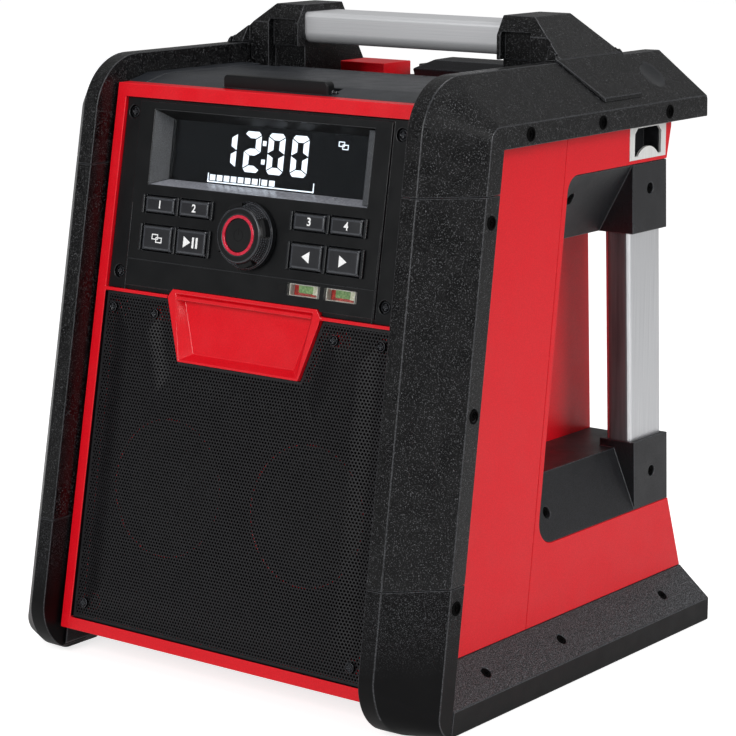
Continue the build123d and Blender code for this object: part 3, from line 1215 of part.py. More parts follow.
def make_keys():
    """Eight push buttons with their lips and stems, and the board behind them."""
    back = PANEL_FACE - PANEL_PLATE
    for name, u, v, height in key_layout():
        w, h = KEY_WIDTH / 2, height / 2
        cap = panel_block((u - w, u + w), (v - h, v + h), (back - 1, KEY_PROUD))
        top = cap.edges().filter_by(lambda e: abs(PANEL.to_local_coords(e.center()).Z - KEY_PROUD) < 0.01)
        cap = chamfer(top, 1.0)
        lip = panel_block((u - w - KEY_LIP, u + w + KEY_LIP), (v - h - KEY_LIP, v + h + KEY_LIP),
                          (back - 1.1, back - 0.2))
        stem = panel_rod(u, v, 2.0, BOARD_N + KEY_TRAVEL + 0.2, back - 0.5)
        save(f"button_{name}", cap + lip + stem)
    half = KEY_OUT_U + 9.7
    board = panel_block((-half, half), (PANEL_LOW_V + 9, RECESS_LOW_V - 3.5),
                        (BOARD_N - BOARD_THICK, BOARD_N))
    for u in LENS_U:
        board += panel_block((u - 3, u + 3), (LENS_V - 2, LENS_V + 2), (BOARD_N, BOARD_N + 2))
    save("keypad_board", board)
    lenses = Part()
    for u in LENS_U:
        w, h = LENS_WIDTH / 2, LENS_HEIGHT / 2
        lenses += panel_block((u - w, u + w), (LENS_V - h, LENS_V + h), (back, PANEL_FACE + PANEL_STEP + 0.4))
    save("indicator_lenses", lenses)


def make_knob():
    """Volume knob, its ring, the power button in it and the encoder behind it."""
    low = PANEL_FACE + PANEL_STEP + 0.6
    high = low + KNOB_HEIGHT
    hub_end = BOARD_N + 0.4
    skirt = panel_rod(0, KNOB_V, KNOB_BASE_R, low, low + KNOB_SKIRT)
    cone = PANEL * Pos(0, KNOB_V, (low + KNOB_SKIRT + high) / 2)
    cone = cone * Cone(KNOB_BASE_R - 1.2, KNOB_FACE_R, high - low - KNOB_SKIRT)
    hub = panel_rod(0, KNOB_V, KNOB_HUB_R, hub_end, low + 1)
    knob = skirt + cone + hub
    knob -= panel_rod(0, KNOB_V, POWER_R + 0.25, low + 5, high + 1)
    knob -= panel_rod(0, KNOB_V, POWER_STEM_R + 0.3, hub_end - 1, high)
    ring_low = high - 1.5
    knob -= panel_rod(0, KNOB_V, RING_OUT_R + 0.01, ring_low, high + 1)
    save("volume_knob", knob)
    ring = panel_rod(0, KNOB_V, RING_OUT_R, ring_low, high + 0.3)
    save("knob_ring", ring - panel_rod(0, KNOB_V, RING_IN_R, ring_low - 1, high + 1))
    power = panel_rod(0, KNOB_V, POWER_R, low + 5 + KEY_TRAVEL + 0.2, high - 0.4)
    power += panel_rod(0, KNOB_V, POWER_STEM_R, BOARD_N + KEY_TRAVEL + 0.2, high - 1)
    save("power_button", power)
    back = PANEL_FACE - PANEL_PLATE
    case = panel_block((-11, 11), (KNOB_V - 11, KNOB_V + 11), (BOARD_N + 0.05, back - 0.1))
    save("rotary_encoder", case - panel_rod(0, KNOB_V, KNOB_HUB_R + RUNNING, BOARD_N - 1, 5))


# ------------------------------------------------------------------ grille and speakers
def make_grille():
    """Perforated sheet over the speakers, as a plain sheet with a crowned middle."""
    low_v, high_v = GRILLE_LOW_V + FIT, DIVIDER_V - FIT
    back = GRILLE_N - GRILLE_THICK
    sheet = prism_n(bezel_outline(BEZEL_BAND + FIT, low_v, high_v), back, GRILLE_N)
    base = bezel_outline(BEZEL_BAND + 17, low_v + 17, SHIELD[2][1] - 10)
    crown = bezel_outline(BEZEL_BAND + 32, low_v + 32, SHIELD[2][1] - 25)
    bulge = loft([PANEL.offset(GRILLE_N - 0.2) * outline(base),
                  PANEL.offset(GRILLE_N + GRILLE_CROWN) * outline(crown)])
    hollow = loft([PANEL.offset(GRILLE_N - 0.2 - GRILLE_THICK) * outline(base),
                   PANEL.offset(GRILLE_N + GRILLE_CROWN - GRILLE_THICK) * outline(crown)])
    sheet = sheet + bulge - hollow - prism_n(shield_outline(FIT), -30, 30)
    for side in (-1, 1):
        for u, v in GRILLE_SCREWS:
            sheet -= panel_rod(side * u, v, SCREW_R + 0.1, -10, 5)
    save("speaker_grille", sheet)


def make_speakers():
    """Baskets, magnets and the two moving cones."""
    face = BAFFLE_N - WALL - 0.1
    deep = face - SPEAKER_DEPTH
    baskets = Part()
    magnets = Part()
    for side in (-1, 1):
        u = side * SPEAKER_U
        rim_plate = panel_rod(u, SPEAKER_V, SPEAKER_R + SPEAKER_RIM, face - 3, face)
        middle = PANEL * Pos(u, SPEAKER_V, (face - 3 + deep) / 2)
        shell = middle * Rot(180, 0, 0) * Cone(SPEAKER_R, 26, face - 3 - deep)
        void = middle * Rot(180, 0, 0) * Cone(SPEAKER_R - 2.5, 23.5, face - 3 - deep + 0.02)
        basket = rim_plate - panel_rod(u, SPEAKER_V, SPEAKER_R - 2.5, face - 4, face + 1)
        basket += shell - void
        basket += panel_rod(u, SPEAKER_V, 26, deep - 2, deep) - panel_rod(u, SPEAKER_V, 14, deep - 3, deep + 1)
        baskets += basket
        magnet = panel_rod(u, SPEAKER_V, 31, deep - 18, deep - 2.1)
        magnets += magnet - panel_rod(u, SPEAKER_V, 13.2, deep - 14, deep)
        outer = middle * Rot(180, 0, 0) * Cone(SPEAKER_R - 6.4, 16, SPEAKER_DEPTH - 10)
        cone = outer - (PANEL * Pos(u, SPEAKER_V, (face - 3 + deep) / 2 + 2.2)
                        * Rot(180, 0, 0) * Cone(SPEAKER_R - 7.0, 15.2, SPEAKER_DEPTH - 10))
        coil_low = deep - 10
        coil_high = (face - 3 + deep) / 2 - (SPEAKER_DEPTH - 10) / 2 + 4
        cone += panel_rod(u, SPEAKER_V, 12.9, coil_low, coil_high) - panel_rod(
            u, SPEAKER_V, 11.9, coil_low - 1, coil_high - 1.2)
        save("speaker_cone_" + ("right" if side > 0 else "left"), cone)
    save("speaker_baskets", baskets)
    save("speaker_magnets", magnets)


def make_face_screws():
    """Screws of the control panel and of the grille."""
    panel_set = Part()
    grille_set = Part()
    for side in (-1, 1):
        for v in PANEL_SCREW_V:
            seat = PANEL * Pos(side * PANEL_SCREW_U, v, PANEL_FACE - 3.1)
            panel_set += seat * screw(SCREW_R, 7.5, SCREW_HEAD_R, SCREW_HEAD)
        for u, v in GRILLE_SCREWS:
            seat = PANEL * Pos(side * u, v, GRILLE_N + 0.1)
            grille_set += seat * screw(SCREW_R, 9, SCREW_HEAD_R, SCREW_HEAD)
    save("panel_screws", panel_set)
    save("grille_screws", grille_set)


def main():
    """Make every node and write it."""
    make_bumpers()
    make_bumper_screws()
    make_base()
    make_front_housing()
    make_rear_housing()
    make_inside()
    make_deck()
    make_bin()
    make_lid()
    make_door()
    make_handle()
    make_grips()
    make_opener()
    make_panel()
    make_keys()
    make_knob()
    make_grille()
    make_speakers()
    make_face_screws()
    os.makedirs("parts", exist_ok=True)
    for name, shape in PARTS.items():
        export_step(shape, f"parts/{name}.step")
    print(len(PARTS), "nodes")
    print("panel foot y", round(PANEL_FOOT_Y, 3), "lid hinge", round(HINGE_Y, 3), round(HINGE_Z, 3))
    print("door hinge", round(DOOR_PIN_Y, 3), DOOR_PIN_Z, "latch pivots", latch_pivot(), door_latch_pivot())


main()
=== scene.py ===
"""Studio scene of the jobsite radio: finishes, fine detail, lights and camera round the CAD frame.

Lengths are in millimetres and become metres in the last step.  The front of the radio is one leaning
plane: on it x runs across, y up the plane from the floor, and z out of it.
"""

import json
import logging
import math
from dataclasses import dataclass, field
from enum import Enum

import bmesh
import bpy
from mathutils import Matrix, Vector

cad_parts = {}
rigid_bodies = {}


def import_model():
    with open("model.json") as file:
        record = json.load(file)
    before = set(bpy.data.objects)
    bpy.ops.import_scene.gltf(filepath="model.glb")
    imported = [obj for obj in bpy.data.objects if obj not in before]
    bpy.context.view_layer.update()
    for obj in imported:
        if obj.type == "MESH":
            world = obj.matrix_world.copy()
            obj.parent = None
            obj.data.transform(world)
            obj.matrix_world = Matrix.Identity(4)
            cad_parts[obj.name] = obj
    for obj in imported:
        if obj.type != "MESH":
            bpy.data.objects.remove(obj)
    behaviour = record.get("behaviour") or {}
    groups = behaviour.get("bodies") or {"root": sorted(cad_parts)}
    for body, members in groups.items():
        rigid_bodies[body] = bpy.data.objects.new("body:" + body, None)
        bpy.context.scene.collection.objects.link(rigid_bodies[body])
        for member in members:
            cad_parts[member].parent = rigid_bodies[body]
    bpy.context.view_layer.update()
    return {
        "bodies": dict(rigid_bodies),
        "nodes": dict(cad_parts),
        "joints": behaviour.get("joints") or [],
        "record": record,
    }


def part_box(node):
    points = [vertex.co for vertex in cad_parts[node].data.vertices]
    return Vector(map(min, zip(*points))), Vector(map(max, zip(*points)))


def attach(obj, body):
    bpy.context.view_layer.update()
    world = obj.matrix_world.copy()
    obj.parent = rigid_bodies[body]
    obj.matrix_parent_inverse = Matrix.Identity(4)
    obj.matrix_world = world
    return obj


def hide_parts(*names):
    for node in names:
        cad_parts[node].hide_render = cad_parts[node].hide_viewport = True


LOG = logging.getLogger("radio")
MM = 0.001
MATH = "ShaderNodeMath"
# half width and height of a box that holds the whole radio, and a level just under its feet
REACH, TOP, UNDER = 200.0, 450.0, -1.0

Pair = tuple[float, float]
Triple = tuple[float, float, float]
Quad = tuple[float, float, float, float]
Outline = list[Pair]
Links = dict[int | str, object]


def linear(code: str) -> Quad:
    """Turn an sRGB hex colour into linear RGBA.

    Args:
        code: Six hex digits.

    Returns:
        Linear red, green, blue and an alpha of 1.
    """
    channels = [int(code[i : i + 2], 16) / 255 for i in (0, 2, 4)]
    values = [c / 12.92 if c <= 0.04045 else ((c + 0.055) / 1.055) ** 2.4 for c in channels]
    return (values[0], values[1], values[2], 1.0)


def link(name: str, data: bpy.types.ID) -> bpy.types.Object:
    """Put data into the scene as an object.

    Args:
        name: Name of the object.
        data: Its mesh, text, lamp or camera.

    Returns:
        The new object.
    """
    thing = bpy.data.objects.new(name, data)
    bpy.context.scene.collection.objects.link(thing)
    return thing


def flatten(source: bpy.types.Object) -> bpy.types.Mesh:
    """Turn an object into a plain mesh, and remove it.

    Args:
        source: Object with its modifiers or its text.

    Returns:
        The mesh.
    """
    graph = bpy.context.evaluated_depsgraph_get()
    mesh = bpy.data.meshes.new_from_object(source.evaluated_get(graph))
    bpy.data.objects.remove(source)
    return mesh


# ------------------------------------------------------------------ node trees
class Graph:
    """Node tree that is being filled."""

    def __init__(self, tree: bpy.types.NodeTree) -> None:
        """Keep the tree.

        Args:
            tree: Tree of a material, a world or a repeat.
        """
        self.tree = tree

    def add(self, kind: str, links: Links | None = None, **settings: object) -> bpy.types.Node:
        """Add a node with its settings and links.

        Args:
            kind: Blender's node type.
            links: Input name or index to a constant, a socket, or a node whose first output is meant.
            **settings: Attributes of the node.

        Returns:
            The new node.
        """
        node = self.tree.nodes.new(kind)
        for name, value in settings.items():
            setattr(node, name, value)
        for key, value in (links or {}).items():
            self.feed(node.inputs[key], value)
        return node

    def feed(self, socket: bpy.types.NodeSocket, value: object) -> None:
        """Give an input its constant or its link.

        Args:
            socket: The input.
            value: A constant, a socket, or a node whose first output is meant.
        """
        if isinstance(value, bpy.types.Node):
            value = value.outputs[0]
        if isinstance(value, bpy.types.NodeSocket):
            self.tree.links.new(value, socket)
        else:
            socket.default_value = value


class Surface(Graph):
    """Material with one principled shader, over object coordinates."""

    def __init__(self, name: str) -> None:
        """Start the material.

        Args:
            name: What the surface is and how it was made.
        """
        self.material = bpy.data.materials.new(name)
        self.material.use_nodes = True
        super().__init__(self.material.node_tree)
        self.shader = self.tree.nodes["Principled BSDF"]
        self.place = self.add("ShaderNodeTexCoord").outputs["Object"]

    def finish(self, **values: object) -> bpy.types.Material:
        """Set or link inputs of the shader, and hand the material over.

        Args:
            **values: Input name, with underscores for spaces, to a constant, a socket or a node.

        Returns:
            The material.
        """
        for key, value in values.items():
            self.feed(self.shader.inputs[key.replace("_", " ")], value)
        return self.material


# ------------------------------------------------------------------ finishes
@dataclass(frozen=True)
class Grained:
    """Moulded, cast or coated surface: grains with paler tops, dulled in slow patches.

    Attributes:
        name: What the surface is and how it was made.
        valley: Hex colour between the grains.
        peak: Hex colour on their tops.
        grain: Distance between grains.
        height: Height of the grains.
        rough: Roughness of the cleanest and the dullest patches.
        specular: Specular level; 0.5 is plain plastic.
        cover: Noise values at which a grain starts and is full.
        fade: Heights over the floor between which the grain comes in; equal for grain all over.
        coat: Weight of a clear coat.
        patch: Distance between cleaner and duller patches.
    """

    name: str
    valley: str
    peak: str
    grain: float
    height: float
    rough: Pair
    specular: float = 0.5
    cover: Pair = (0.38, 0.68)
    fade: Pair = (0.0, 0.0)
    coat: float = 0.0
    patch: float = 16.0

    def make(self) -> bpy.types.Material:
        """Build the material.

        Returns:
            The material.
        """
        s = Surface(self.name)
        noise = s.add("ShaderNodeTexNoise", {"Vector": s.place, "Scale": 1 / (self.grain * MM), "Detail": 2.0,
                                             "Roughness": 0.6})
        low, high = self.cover
        grains = s.add("ShaderNodeMapRange", {"Value": noise, "From Min": low, "From Max": high})
        if self.fade[0] != self.fade[1]:
            height = s.add("ShaderNodeSeparateXYZ", {0: s.place}).outputs[2]
            low, high = (level * MM for level in self.fade)
            share = s.add("ShaderNodeMapRange", {"Value": height, "From Min": low, "From Max": high})
            grains = s.add(MATH, {0: grains, 1: share}, operation="MULTIPLY")
        tone = s.add("ShaderNodeMix", {0: grains, 6: linear(self.valley), 7: linear(self.peak)}, data_type="RGBA")
        slow = s.add("ShaderNodeTexNoise", {"Vector": s.place, "Scale": 1 / (self.patch * MM), "Detail": 3.0})
        low, high = self.rough
        dull = s.add("ShaderNodeMapRange", {"Value": slow, "From Min": 0.35, "From Max": 0.65,
                                            "To Min": low, "To Max": high})
        bump = s.add("ShaderNodeBump", {"Height": grains, "Distance": self.height * MM, "Strength": 0.8})
        return s.finish(Base_Color=tone.outputs[2], Roughness=dull, Normal=bump,
                        Specular_IOR_Level=self.specular, Coat_Weight=self.coat)


@dataclass(frozen=True)
class Drawn:
    """Metal drawn or turned in one direction, with lines along it.

    Attributes:
        name: What the metal is and how its surface was made.
        dark: Hex colour in the lines.
        pale: Hex colour between them.
        line: Distance between lines.
        along: Length of a line; the axis it runs along is axis.
        axis: 0, 1 or 2 for X, Y or Z.
        rough: Roughness between and in the lines.
        metallic: Below 1 where a clouded skin lies over the metal.
    """

    name: str
    dark: str
    pale: str
    line: float
    along: float
    axis: int
    rough: Pair
    metallic: float = 1.0

    def make(self) -> bpy.types.Material:
        """Build the material.

        Returns:
            The material.
        """
        s = Surface(self.name)
        scale = [1 / (self.line * MM)] * 3
        scale[self.axis] = 1 / (self.along * MM)
        stretched = s.add("ShaderNodeMapping", {"Vector": s.place, "Scale": scale})
        noise = s.add("ShaderNodeTexNoise", {"Vector": stretched, "Scale": 1.0, "Detail": 3.0})
        lines = s.add("ShaderNodeMapRange", {"Value": noise, "From Min": 0.3, "From Max": 0.7})
        tone = s.add("ShaderNodeMix", {0: lines, 6: linear(self.dark), 7: linear(self.pale)}, data_type="RGBA")
        low, high = self.rough
        dull = s.add("ShaderNodeMapRange", {"Value": lines, "To Min": high, "To Max": low})
        bump = s.add("ShaderNodeBump", {"Height": lines, "Distance": 0.008 * MM, "Strength": 0.5})
        return s.finish(Base_Color=tone.outputs[2], Metallic=self.metallic, Roughness=dull, Normal=bump)


@dataclass(frozen=True)
class Clear:
    """Clear or smoked plastic with a faint haze of handling.

    Attributes:
        name: What the plastic is and how its surface was made.
        tint: Hex colour of what passes through.
        rough: Roughness where it is cleanest and haziest.
        ior: Index of refraction.
        patch: Distance between hazier patches.
    """

    name: str
    tint: str
    rough: Pair
    ior: float
    patch: float = 9.0

    def make(self) -> bpy.types.Material:
        """Build the material.

        Returns:
            The material.
        """
        s = Surface(self.name)
        haze = s.add("ShaderNodeTexNoise", {"Vector": s.place, "Scale": 1 / (self.patch * MM), "Detail": 4.0})
        low, high = self.rough
        dull = s.add("ShaderNodeMapRange", {"Value": haze, "To Min": low, "To Max": high})
        return s.finish(Base_Color=linear(self.tint), Transmission_Weight=1.0, IOR=self.ior, Roughness=dull)


@dataclass(frozen=True)
class Backlit:
    """Printed film with a lamp behind it.

    Attributes:
        name: What the film is.
        colour: Hex colour of its light.
        strength: Light at its dimmest and brightest spots.
        patch: Distance between brighter spots.
    """

    name: str
    colour: str
    strength: Pair
    patch: float = 6.0

    def make(self) -> bpy.types.Material:
        """Build the material.

        Returns:
            The material.
        """
        s = Surface(self.name)
        spots = s.add("ShaderNodeTexNoise", {"Vector": s.place, "Scale": 1 / (self.patch * MM)})
        low, high = self.strength
        light = s.add("ShaderNodeMapRange", {"Value": spots, "From Min": 0.3, "From Max": 0.7,
                                             "To Min": low, "To Max": high})
        return s.finish(Base_Color=linear(self.colour), Roughness=0.5, Emission_Color=linear(self.colour),
                        Emission_Strength=light)


class Finish(Enum):
    """The radio's materials, with the painted highlights, reflection, light and shade that some faces take; each
    value is its recipe.
    """

    # moulded plastics have grains of 0.05 to 0.3 mm, too fine to show; all are drawn at 0.5 mm or more

    # the melt's fine grain gives the red shells a soft bloom in place of a mirror line
    RED = Grained("Injection-moulded red ABS", "c80414", "d8081c", 0.8, 0.03, (0.30, 0.40), 0.33)
    # where a red edge is rounded it is smoother and painted a slightly paler red: a painted highlight line
    RED_EDGE_PAINTED_HIGHLIGHT = Grained("Red ABS edge, painted highlight", "d01420", "d81c28", 1.2, 0.01, (0.20, 0.28), 0.4)
    # real grain is 0.2 mm; drawn at 0.85 mm so that the tops glint one by one
    SPECKLED = Grained("Speckled black rubber, moulded", "040405", "66676a", 0.85, 0.50, (0.24, 0.34), 0.30,
                       (0.57, 0.80))
    # the rounded edges are painted greyer and smoother than the rubber: a painted highlight line
    SPECKLED_EDGE_PAINTED_HIGHLIGHT = Grained("Black rubber edge, painted highlight", "151618", "424346", 0.9, 0.06, (0.30, 0.40), 0.35)
    # grained above, plain where it wraps under the corner; drawn coarser than it is, as above
    LOWER_RUBBER = Grained("Black rubber, grained above and plain below", "050506", "505154", 0.75, 0.27,
                           (0.34, 0.44), 0.14, (0.53, 0.78), (42.0, 78.0))
    # moulded against polished steel: even, nearly black and dull
    SMOOTH_RUBBER = Grained("Smooth black rubber, moulded", "060607", "0c0c0d", 0.6, 0.02, (0.38, 0.48), 0.18)
    # fine spark-eroded texture of the mould; real 0.15 mm, drawn at 0.6 mm
    NYLON = Grained("Fine-textured black nylon, moulded", "0d0d0f", "2a2b2f", 0.6, 0.08, (0.34, 0.44), 0.40,
                    (0.42, 0.70))
    # the same texture in a bluer batch, worn to a slight sheen
    DECK = Grained("Fine-textured blue-black nylon, moulded", "101318", "252a32", 0.6, 0.05, (0.34, 0.44), 0.60,
                   (0.42, 0.70))
    # the rounded edges of the black parts are painted paler: a painted highlight line round them
    NYLON_EDGE_PAINTED_HIGHLIGHT = Grained("Black nylon edge, painted highlight", "26282b", "3a3c40", 1.0, 0.02, (0.24, 0.32), 0.5)
    # coarse texture on the sloped strips over the feet, real 0.3 mm, drawn at 0.75 mm
    STRIP = Grained("Coarse-textured black nylon, moulded", "111113", "6c6d71", 0.75, 0.25, (0.34, 0.44), 0.40,
                    (0.46, 0.74))
    # satin plastic spreads its highlights; its rounded edges are painted paler, a painted highlight, and the fine
    # lines, key ribs and thumb dish take the same finish
    PANEL = Grained("Satin black ABS, moulded", "0b0c0d", "121315", 0.5, 0.012, (0.34, 0.42), 0.22)
    PANEL_EDGE_PAINTED_HIGHLIGHT = Grained("Satin ABS edge, painted highlight", "141517", "202225", 1.0, 0.01, (0.20, 0.28), 0.5)
    # the side slopes of the display recess and the bar beside it are painted paler than the panel: painted light
    SLOPE_PAINTED_LIGHT = Grained("Black ABS slope, painted light", "2a2c2f", "494c50", 0.6, 0.06, (0.30, 0.40), 0.45)
    # the sill below the display is polished; its pale grey is a painted reflection of the room
    SILL_PAINTED_REFLECTION = Grained("Black ABS sill, painted reflection", "8c8e96", "a2a4ac", 1.5, 0.01, (0.20, 0.28), 0.5)
    # the coating makes the keys a shade paler than the panel; their rims, the latch's edges and the rims of the
    # panel screws are painted paler still: a painted highlight
    KEY = Grained("Silicone-coated black keycap", "1b1c1f", "242529", 0.5, 0.010, (0.30, 0.38), 0.45)
    KEY_EDGE_PAINTED_HIGHLIGHT = Grained("Keycap rim, painted highlight", "34363a", "43454a", 1.0, 0.008, (0.20, 0.28), 0.5)
    # soft-touch lacquer takes light in; its rim and knurls are painted paler: a painted highlight
    KNOB = Grained("Soft-touch black knob, moulded", "08090a", "101113", 0.5, 0.012, (0.34, 0.42), 0.30)
    KNOB_EDGE_PAINTED_HIGHLIGHT = Grained("Knob rim, painted highlight", "26282c", "34363b", 1.0, 0.008, (0.24, 0.30), 0.5)
    # drawn tube, bead-blasted and anodised: fine lines along it and a pale, cloudy sheen
    ALUMINIUM = Drawn("Anodised aluminium, drawn along X", "d4d5d8", "e4e5e7", 0.4, 90.0, 0, (0.36, 0.46), 0.6)
    # the same tube, with a cleaner skin
    UPRIGHT_ALUMINIUM = Drawn("Anodised aluminium, drawn along Z", "cfd0d3", "e4e5e7", 0.4, 90.0, 2,
                              (0.30, 0.40), 0.9)
    # the flank that faces the red wall is painted dark grey and dull: painted shade, which also keeps the red's
    # reflection out
    ALUMINIUM_PAINTED_SHADE = Drawn("Anodised aluminium flank, painted shade", "3c3d40", "6a6b6e", 6.0, 240.0, 2,
                              (0.40, 0.50), 0.25)
    # the pale passivated skin keeps the plate bright from every side
    ZINC = Drawn("Zinc-plated steel, brushed", "e6e6e4", "f6f6f3", 0.5, 12.0, 2, (0.30, 0.42), 0.5)
    # oiled oxide is nearly black, with a hard glint on turned edges
    BLACK_STEEL = Drawn("Black-oxide steel, turned", "1a1a1c", "2e2e31", 0.3, 3.0, 0, (0.14, 0.22))
    # screws sunk in rubber and nylon, and the rings round them, are painted near-black: painted shade of their holes
    STEEL_PAINTED_SHADE = Grained("Black-oxide steel, painted shade of its hole", "020202", "050505", 0.5, 0.01, (0.70, 0.80), 0.05)
    # stoved powder has a slight orange peel
    SHEET = Grained("Black powder-coated steel sheet", "141416", "1d1d20", 1.4, 0.02, (0.40, 0.48), 0.30)
    # the baffle behind the grille is painted near-black with a trace of its red: painted shade behind the sheet
    CLOTH = Grained("Baffle behind the grille, painted shade", "080304", "100506", 0.7, 0.10, (0.80, 0.90), 0.05)
    # smoked plastic greys the display; a low index keeps the room off it, so the digits stay clear
    WINDOW = Clear("Smoked polycarbonate, polished", "9aa0a6", (0.02, 0.05), 1.3)
    # polished and clear, the lenses show what lies under them
    LENS = Clear("Clear polycarbonate, polished", "f2f5f2", (0.03, 0.08), 1.45)
    # unlit film is an even blue-black
    DISPLAY = Grained("Black display film", "0b0e11", "0f1316", 2.0, 0.002, (0.30, 0.36), 0.3)
    # lit from behind, the segments are even and white
    SEGMENT = Backlit("Backlit white segments", "f6f8fb", (3.6, 4.2))
    # the ink lies on the key as a flat, even white
    PRINT = Grained("White pad printing", "e4e4e4", "f2f2f2", 0.8, 0.006, (0.45, 0.55), 0.4)
    # light enters the acrylic and returns as a deep, glossy red
    RING = Grained("Translucent red acrylic, polished", "b0142c", "cf2440", 2.5, 0.004, (0.20, 0.28), 0.5, coat=0.6)
    # pressed pulp is matt, with a soft fibrous grain
    CONE = Grained("Coated paper pulp, pressed", "15110f", "26201d", 1.2, 0.06, (0.60, 0.75), 0.3)
    # ground ferrite is dull and dark grey
    MAGNET = Grained("Sintered ferrite, ground", "242426", "303033", 0.9, 0.03, (0.50, 0.65), 0.4)
    # solder mask is glossy, with the copper faintly under it
    BOARD = Grained("Green solder mask over copper", "0c4023", "12532f", 2.2, 0.03, (0.28, 0.40), 0.5)
    # plain parts inside are an even dark grey
    GREY = Grained("Grey ABS, moulded", "27282a", "313235", 0.7, 0.03, (0.42, 0.55), 0.4)
    # light guides are slightly cloudy and look lit from within
    GREEN_CELL = Grained("Green light guide, moulded", "6f9e5c", "a5c686", 1.6, 0.05, (0.25, 0.40), 0.5)
    PALE_CELL = Grained("Pale light guide, moulded", "d9dcba", "fbfbee", 1.4, 0.05, (0.25, 0.40), 0.5)
    RED_CELL = Grained("Red light guide, moulded", "a81a16", "d8382a", 1.4, 0.05, (0.25, 0.40), 0.5)
    # the cut edge of the guides catches the light
    RIM = Grained("Pale edge of the light guides", "b9b4af", "dedad5", 1.0, 0.01, (0.30, 0.40), 0.5)
    # matt and nearly black: the power mark and the light sensor; the slope above the display takes it as painted
    # shade
    ENGRAVED_AND_PAINTED_SHADE = Grained("Eroded black ABS, matt, and painted shade", "050506", "0a0a0b", 0.5, 0.01, (0.50, 0.60), 0.2)


# ------------------------------------------------------------------ planes and meshes
@dataclass(frozen=True)
class Plane:
    """Leaning plane of one side of the radio: x across, y up it, z out of it, in millimetres.

    Attributes:
        foot: Where it meets the floor, along Y.
        lean: Degrees it leans back from upright.
        rear: Whether it faces backwards.
    """

    foot: float
    lean: float
    rear: bool = False

    def matrix(self) -> Matrix:
        """Place the plane in the row frame.

        Returns:
            Matrix from the plane's millimetres to metres.
        """
        turn = math.radians(self.lean)
        c, s = math.cos(turn) * MM, math.sin(turn) * MM
        matrix = Matrix.Identity(4)
        columns = ((-MM, 0, 0), (0, -s, c), (0, c, s)) if self.rear else ((MM, 0, 0), (0, s, c), (0, -c, s))
        for index, column in enumerate(columns):
            matrix.col[index][:3] = column
        matrix.translation = (0, self.foot * MM, 0)
        return matrix


FRONT = Plane(-166.337, 9.6)
BACK = Plane(169.3, 2.8, True)


@dataclass(frozen=True)
class Relief:
    """Flat shapes of one finish, raised between two heights over the front plane.

    Attributes:
        name: Name of the piece.
        shapes: Outlines on the plane.
        low: Lower height.
        high: Upper height.
        finish: Material.
        body: CAD body that carries the piece.
        bevel: Width of its rounded upper edges.
    """

    name: str
    shapes: list[Outline]
    low: float
    high: float
    finish: Finish
    body: str = "root"
    bevel: float = 0.0


def oblong(x: float, y: float, width: float, height: float, radius: float = 0.0) -> Outline:
    """Rectangle with rounded corners.

    Args:
        x: Centre across.
        y: Centre up.
        width: Size across.
        height: Size up.
        radius: Corner radius.

    Returns:
        Its outline, counter-clockwise.
    """
    a, b = width / 2 - radius, height / 2 - radius
    steps = 5 if radius else 1
    points = []
    for index, (along, up) in enumerate(((a, b), (-a, b), (-a, -b), (a, -b))):
        for step in range(steps):
            turn = math.radians(90 * (index + (step / (steps - 1) if radius else 0)))
            points.append((x + along + radius * math.cos(turn), y + up + radius * math.sin(turn)))
    return points


def sector(inner: float, outer: float, start: float, end: float, y: float) -> list[Outline]:
    """Flat part of a ring round (0, y).

    Args:
        inner: Inner radius.
        outer: Outer radius.
        start: First angle in degrees.
        end: Last angle in degrees.
        y: Height of the centre.

    Returns:
        One quad for each step of about 6 degrees.
    """
    steps = max(2, int(abs(end - start) / 6))
    turns = [math.radians(start + (end - start) * i / steps) for i in range(steps + 1)]
    rays = [(math.cos(t), math.sin(t)) for t in turns]
    return [
        [(inner * p[0], y + inner * p[1]), (outer * p[0], y + outer * p[1]),
         (outer * q[0], y + outer * q[1]), (inner * q[0], y + inner * q[1])]
        for p, q in zip(rays, rays[1:])
    ]


def frame_bars(x: float, y: float, width: float, height: float, bar: float) -> list[Outline]:
    """Four bars that make an empty rectangle.

    Args:
        x: Centre across.
        y: Centre up.
        width: Outer width.
        height: Outer height.
        bar: Width of a bar.

    Returns:
        Outlines of the bars.
    """
    a, b = (width - bar) / 2, (height - bar) / 2
    uprights = [oblong(x + side * a, y, bar, height) for side in (-1, 1)]
    return uprights + [oblong(x, y + side * b, width - 2 * bar, bar) for side in (-1, 1)]


def inset(points: Outline, distance: float) -> Outline:
    """Move the edges of a counter-clockwise outline inwards.

    Args:
        points: The outline.
        distance: How far.

    Returns:
        The smaller outline.
    """
    moved = []
    for before, here, after in zip(points[-1:] + points, points, points[1:] + points[:1]):
        a = (Vector(here) - Vector(before)).normalized()
        b = (Vector(after) - Vector(here)).normalized()
        normal = Vector((-a.y - b.y, a.x + b.x))
        moved.append(tuple(Vector(here) + normal * distance / (1 + a.dot(b))))
    return moved


def bar_unit(width: float, length: float, height: float, edge: float) -> bpy.types.Mesh:
    """Bar with rounded edges, standing on z = 0.

    Args:
        width: Size along x.
        length: Size along y.
        height: Size along z.
        edge: Width of the rounded edges.

    Returns:
        The unit mesh.
    """
    bm = bmesh.new()
    bmesh.ops.create_cube(bm, size=1.0, matrix=Matrix.Diagonal((width, length, height, 1)))
    bmesh.ops.translate(bm, verts=bm.verts, vec=(0, 0, height / 2))
    bmesh.ops.bevel(bm, geom=list(bm.edges), offset=edge, segments=2, affect="EDGES", profile=0.5)
    mesh = bpy.data.meshes.new("bar_unit")
    bm.to_mesh(mesh)
    bm.free()
    return mesh


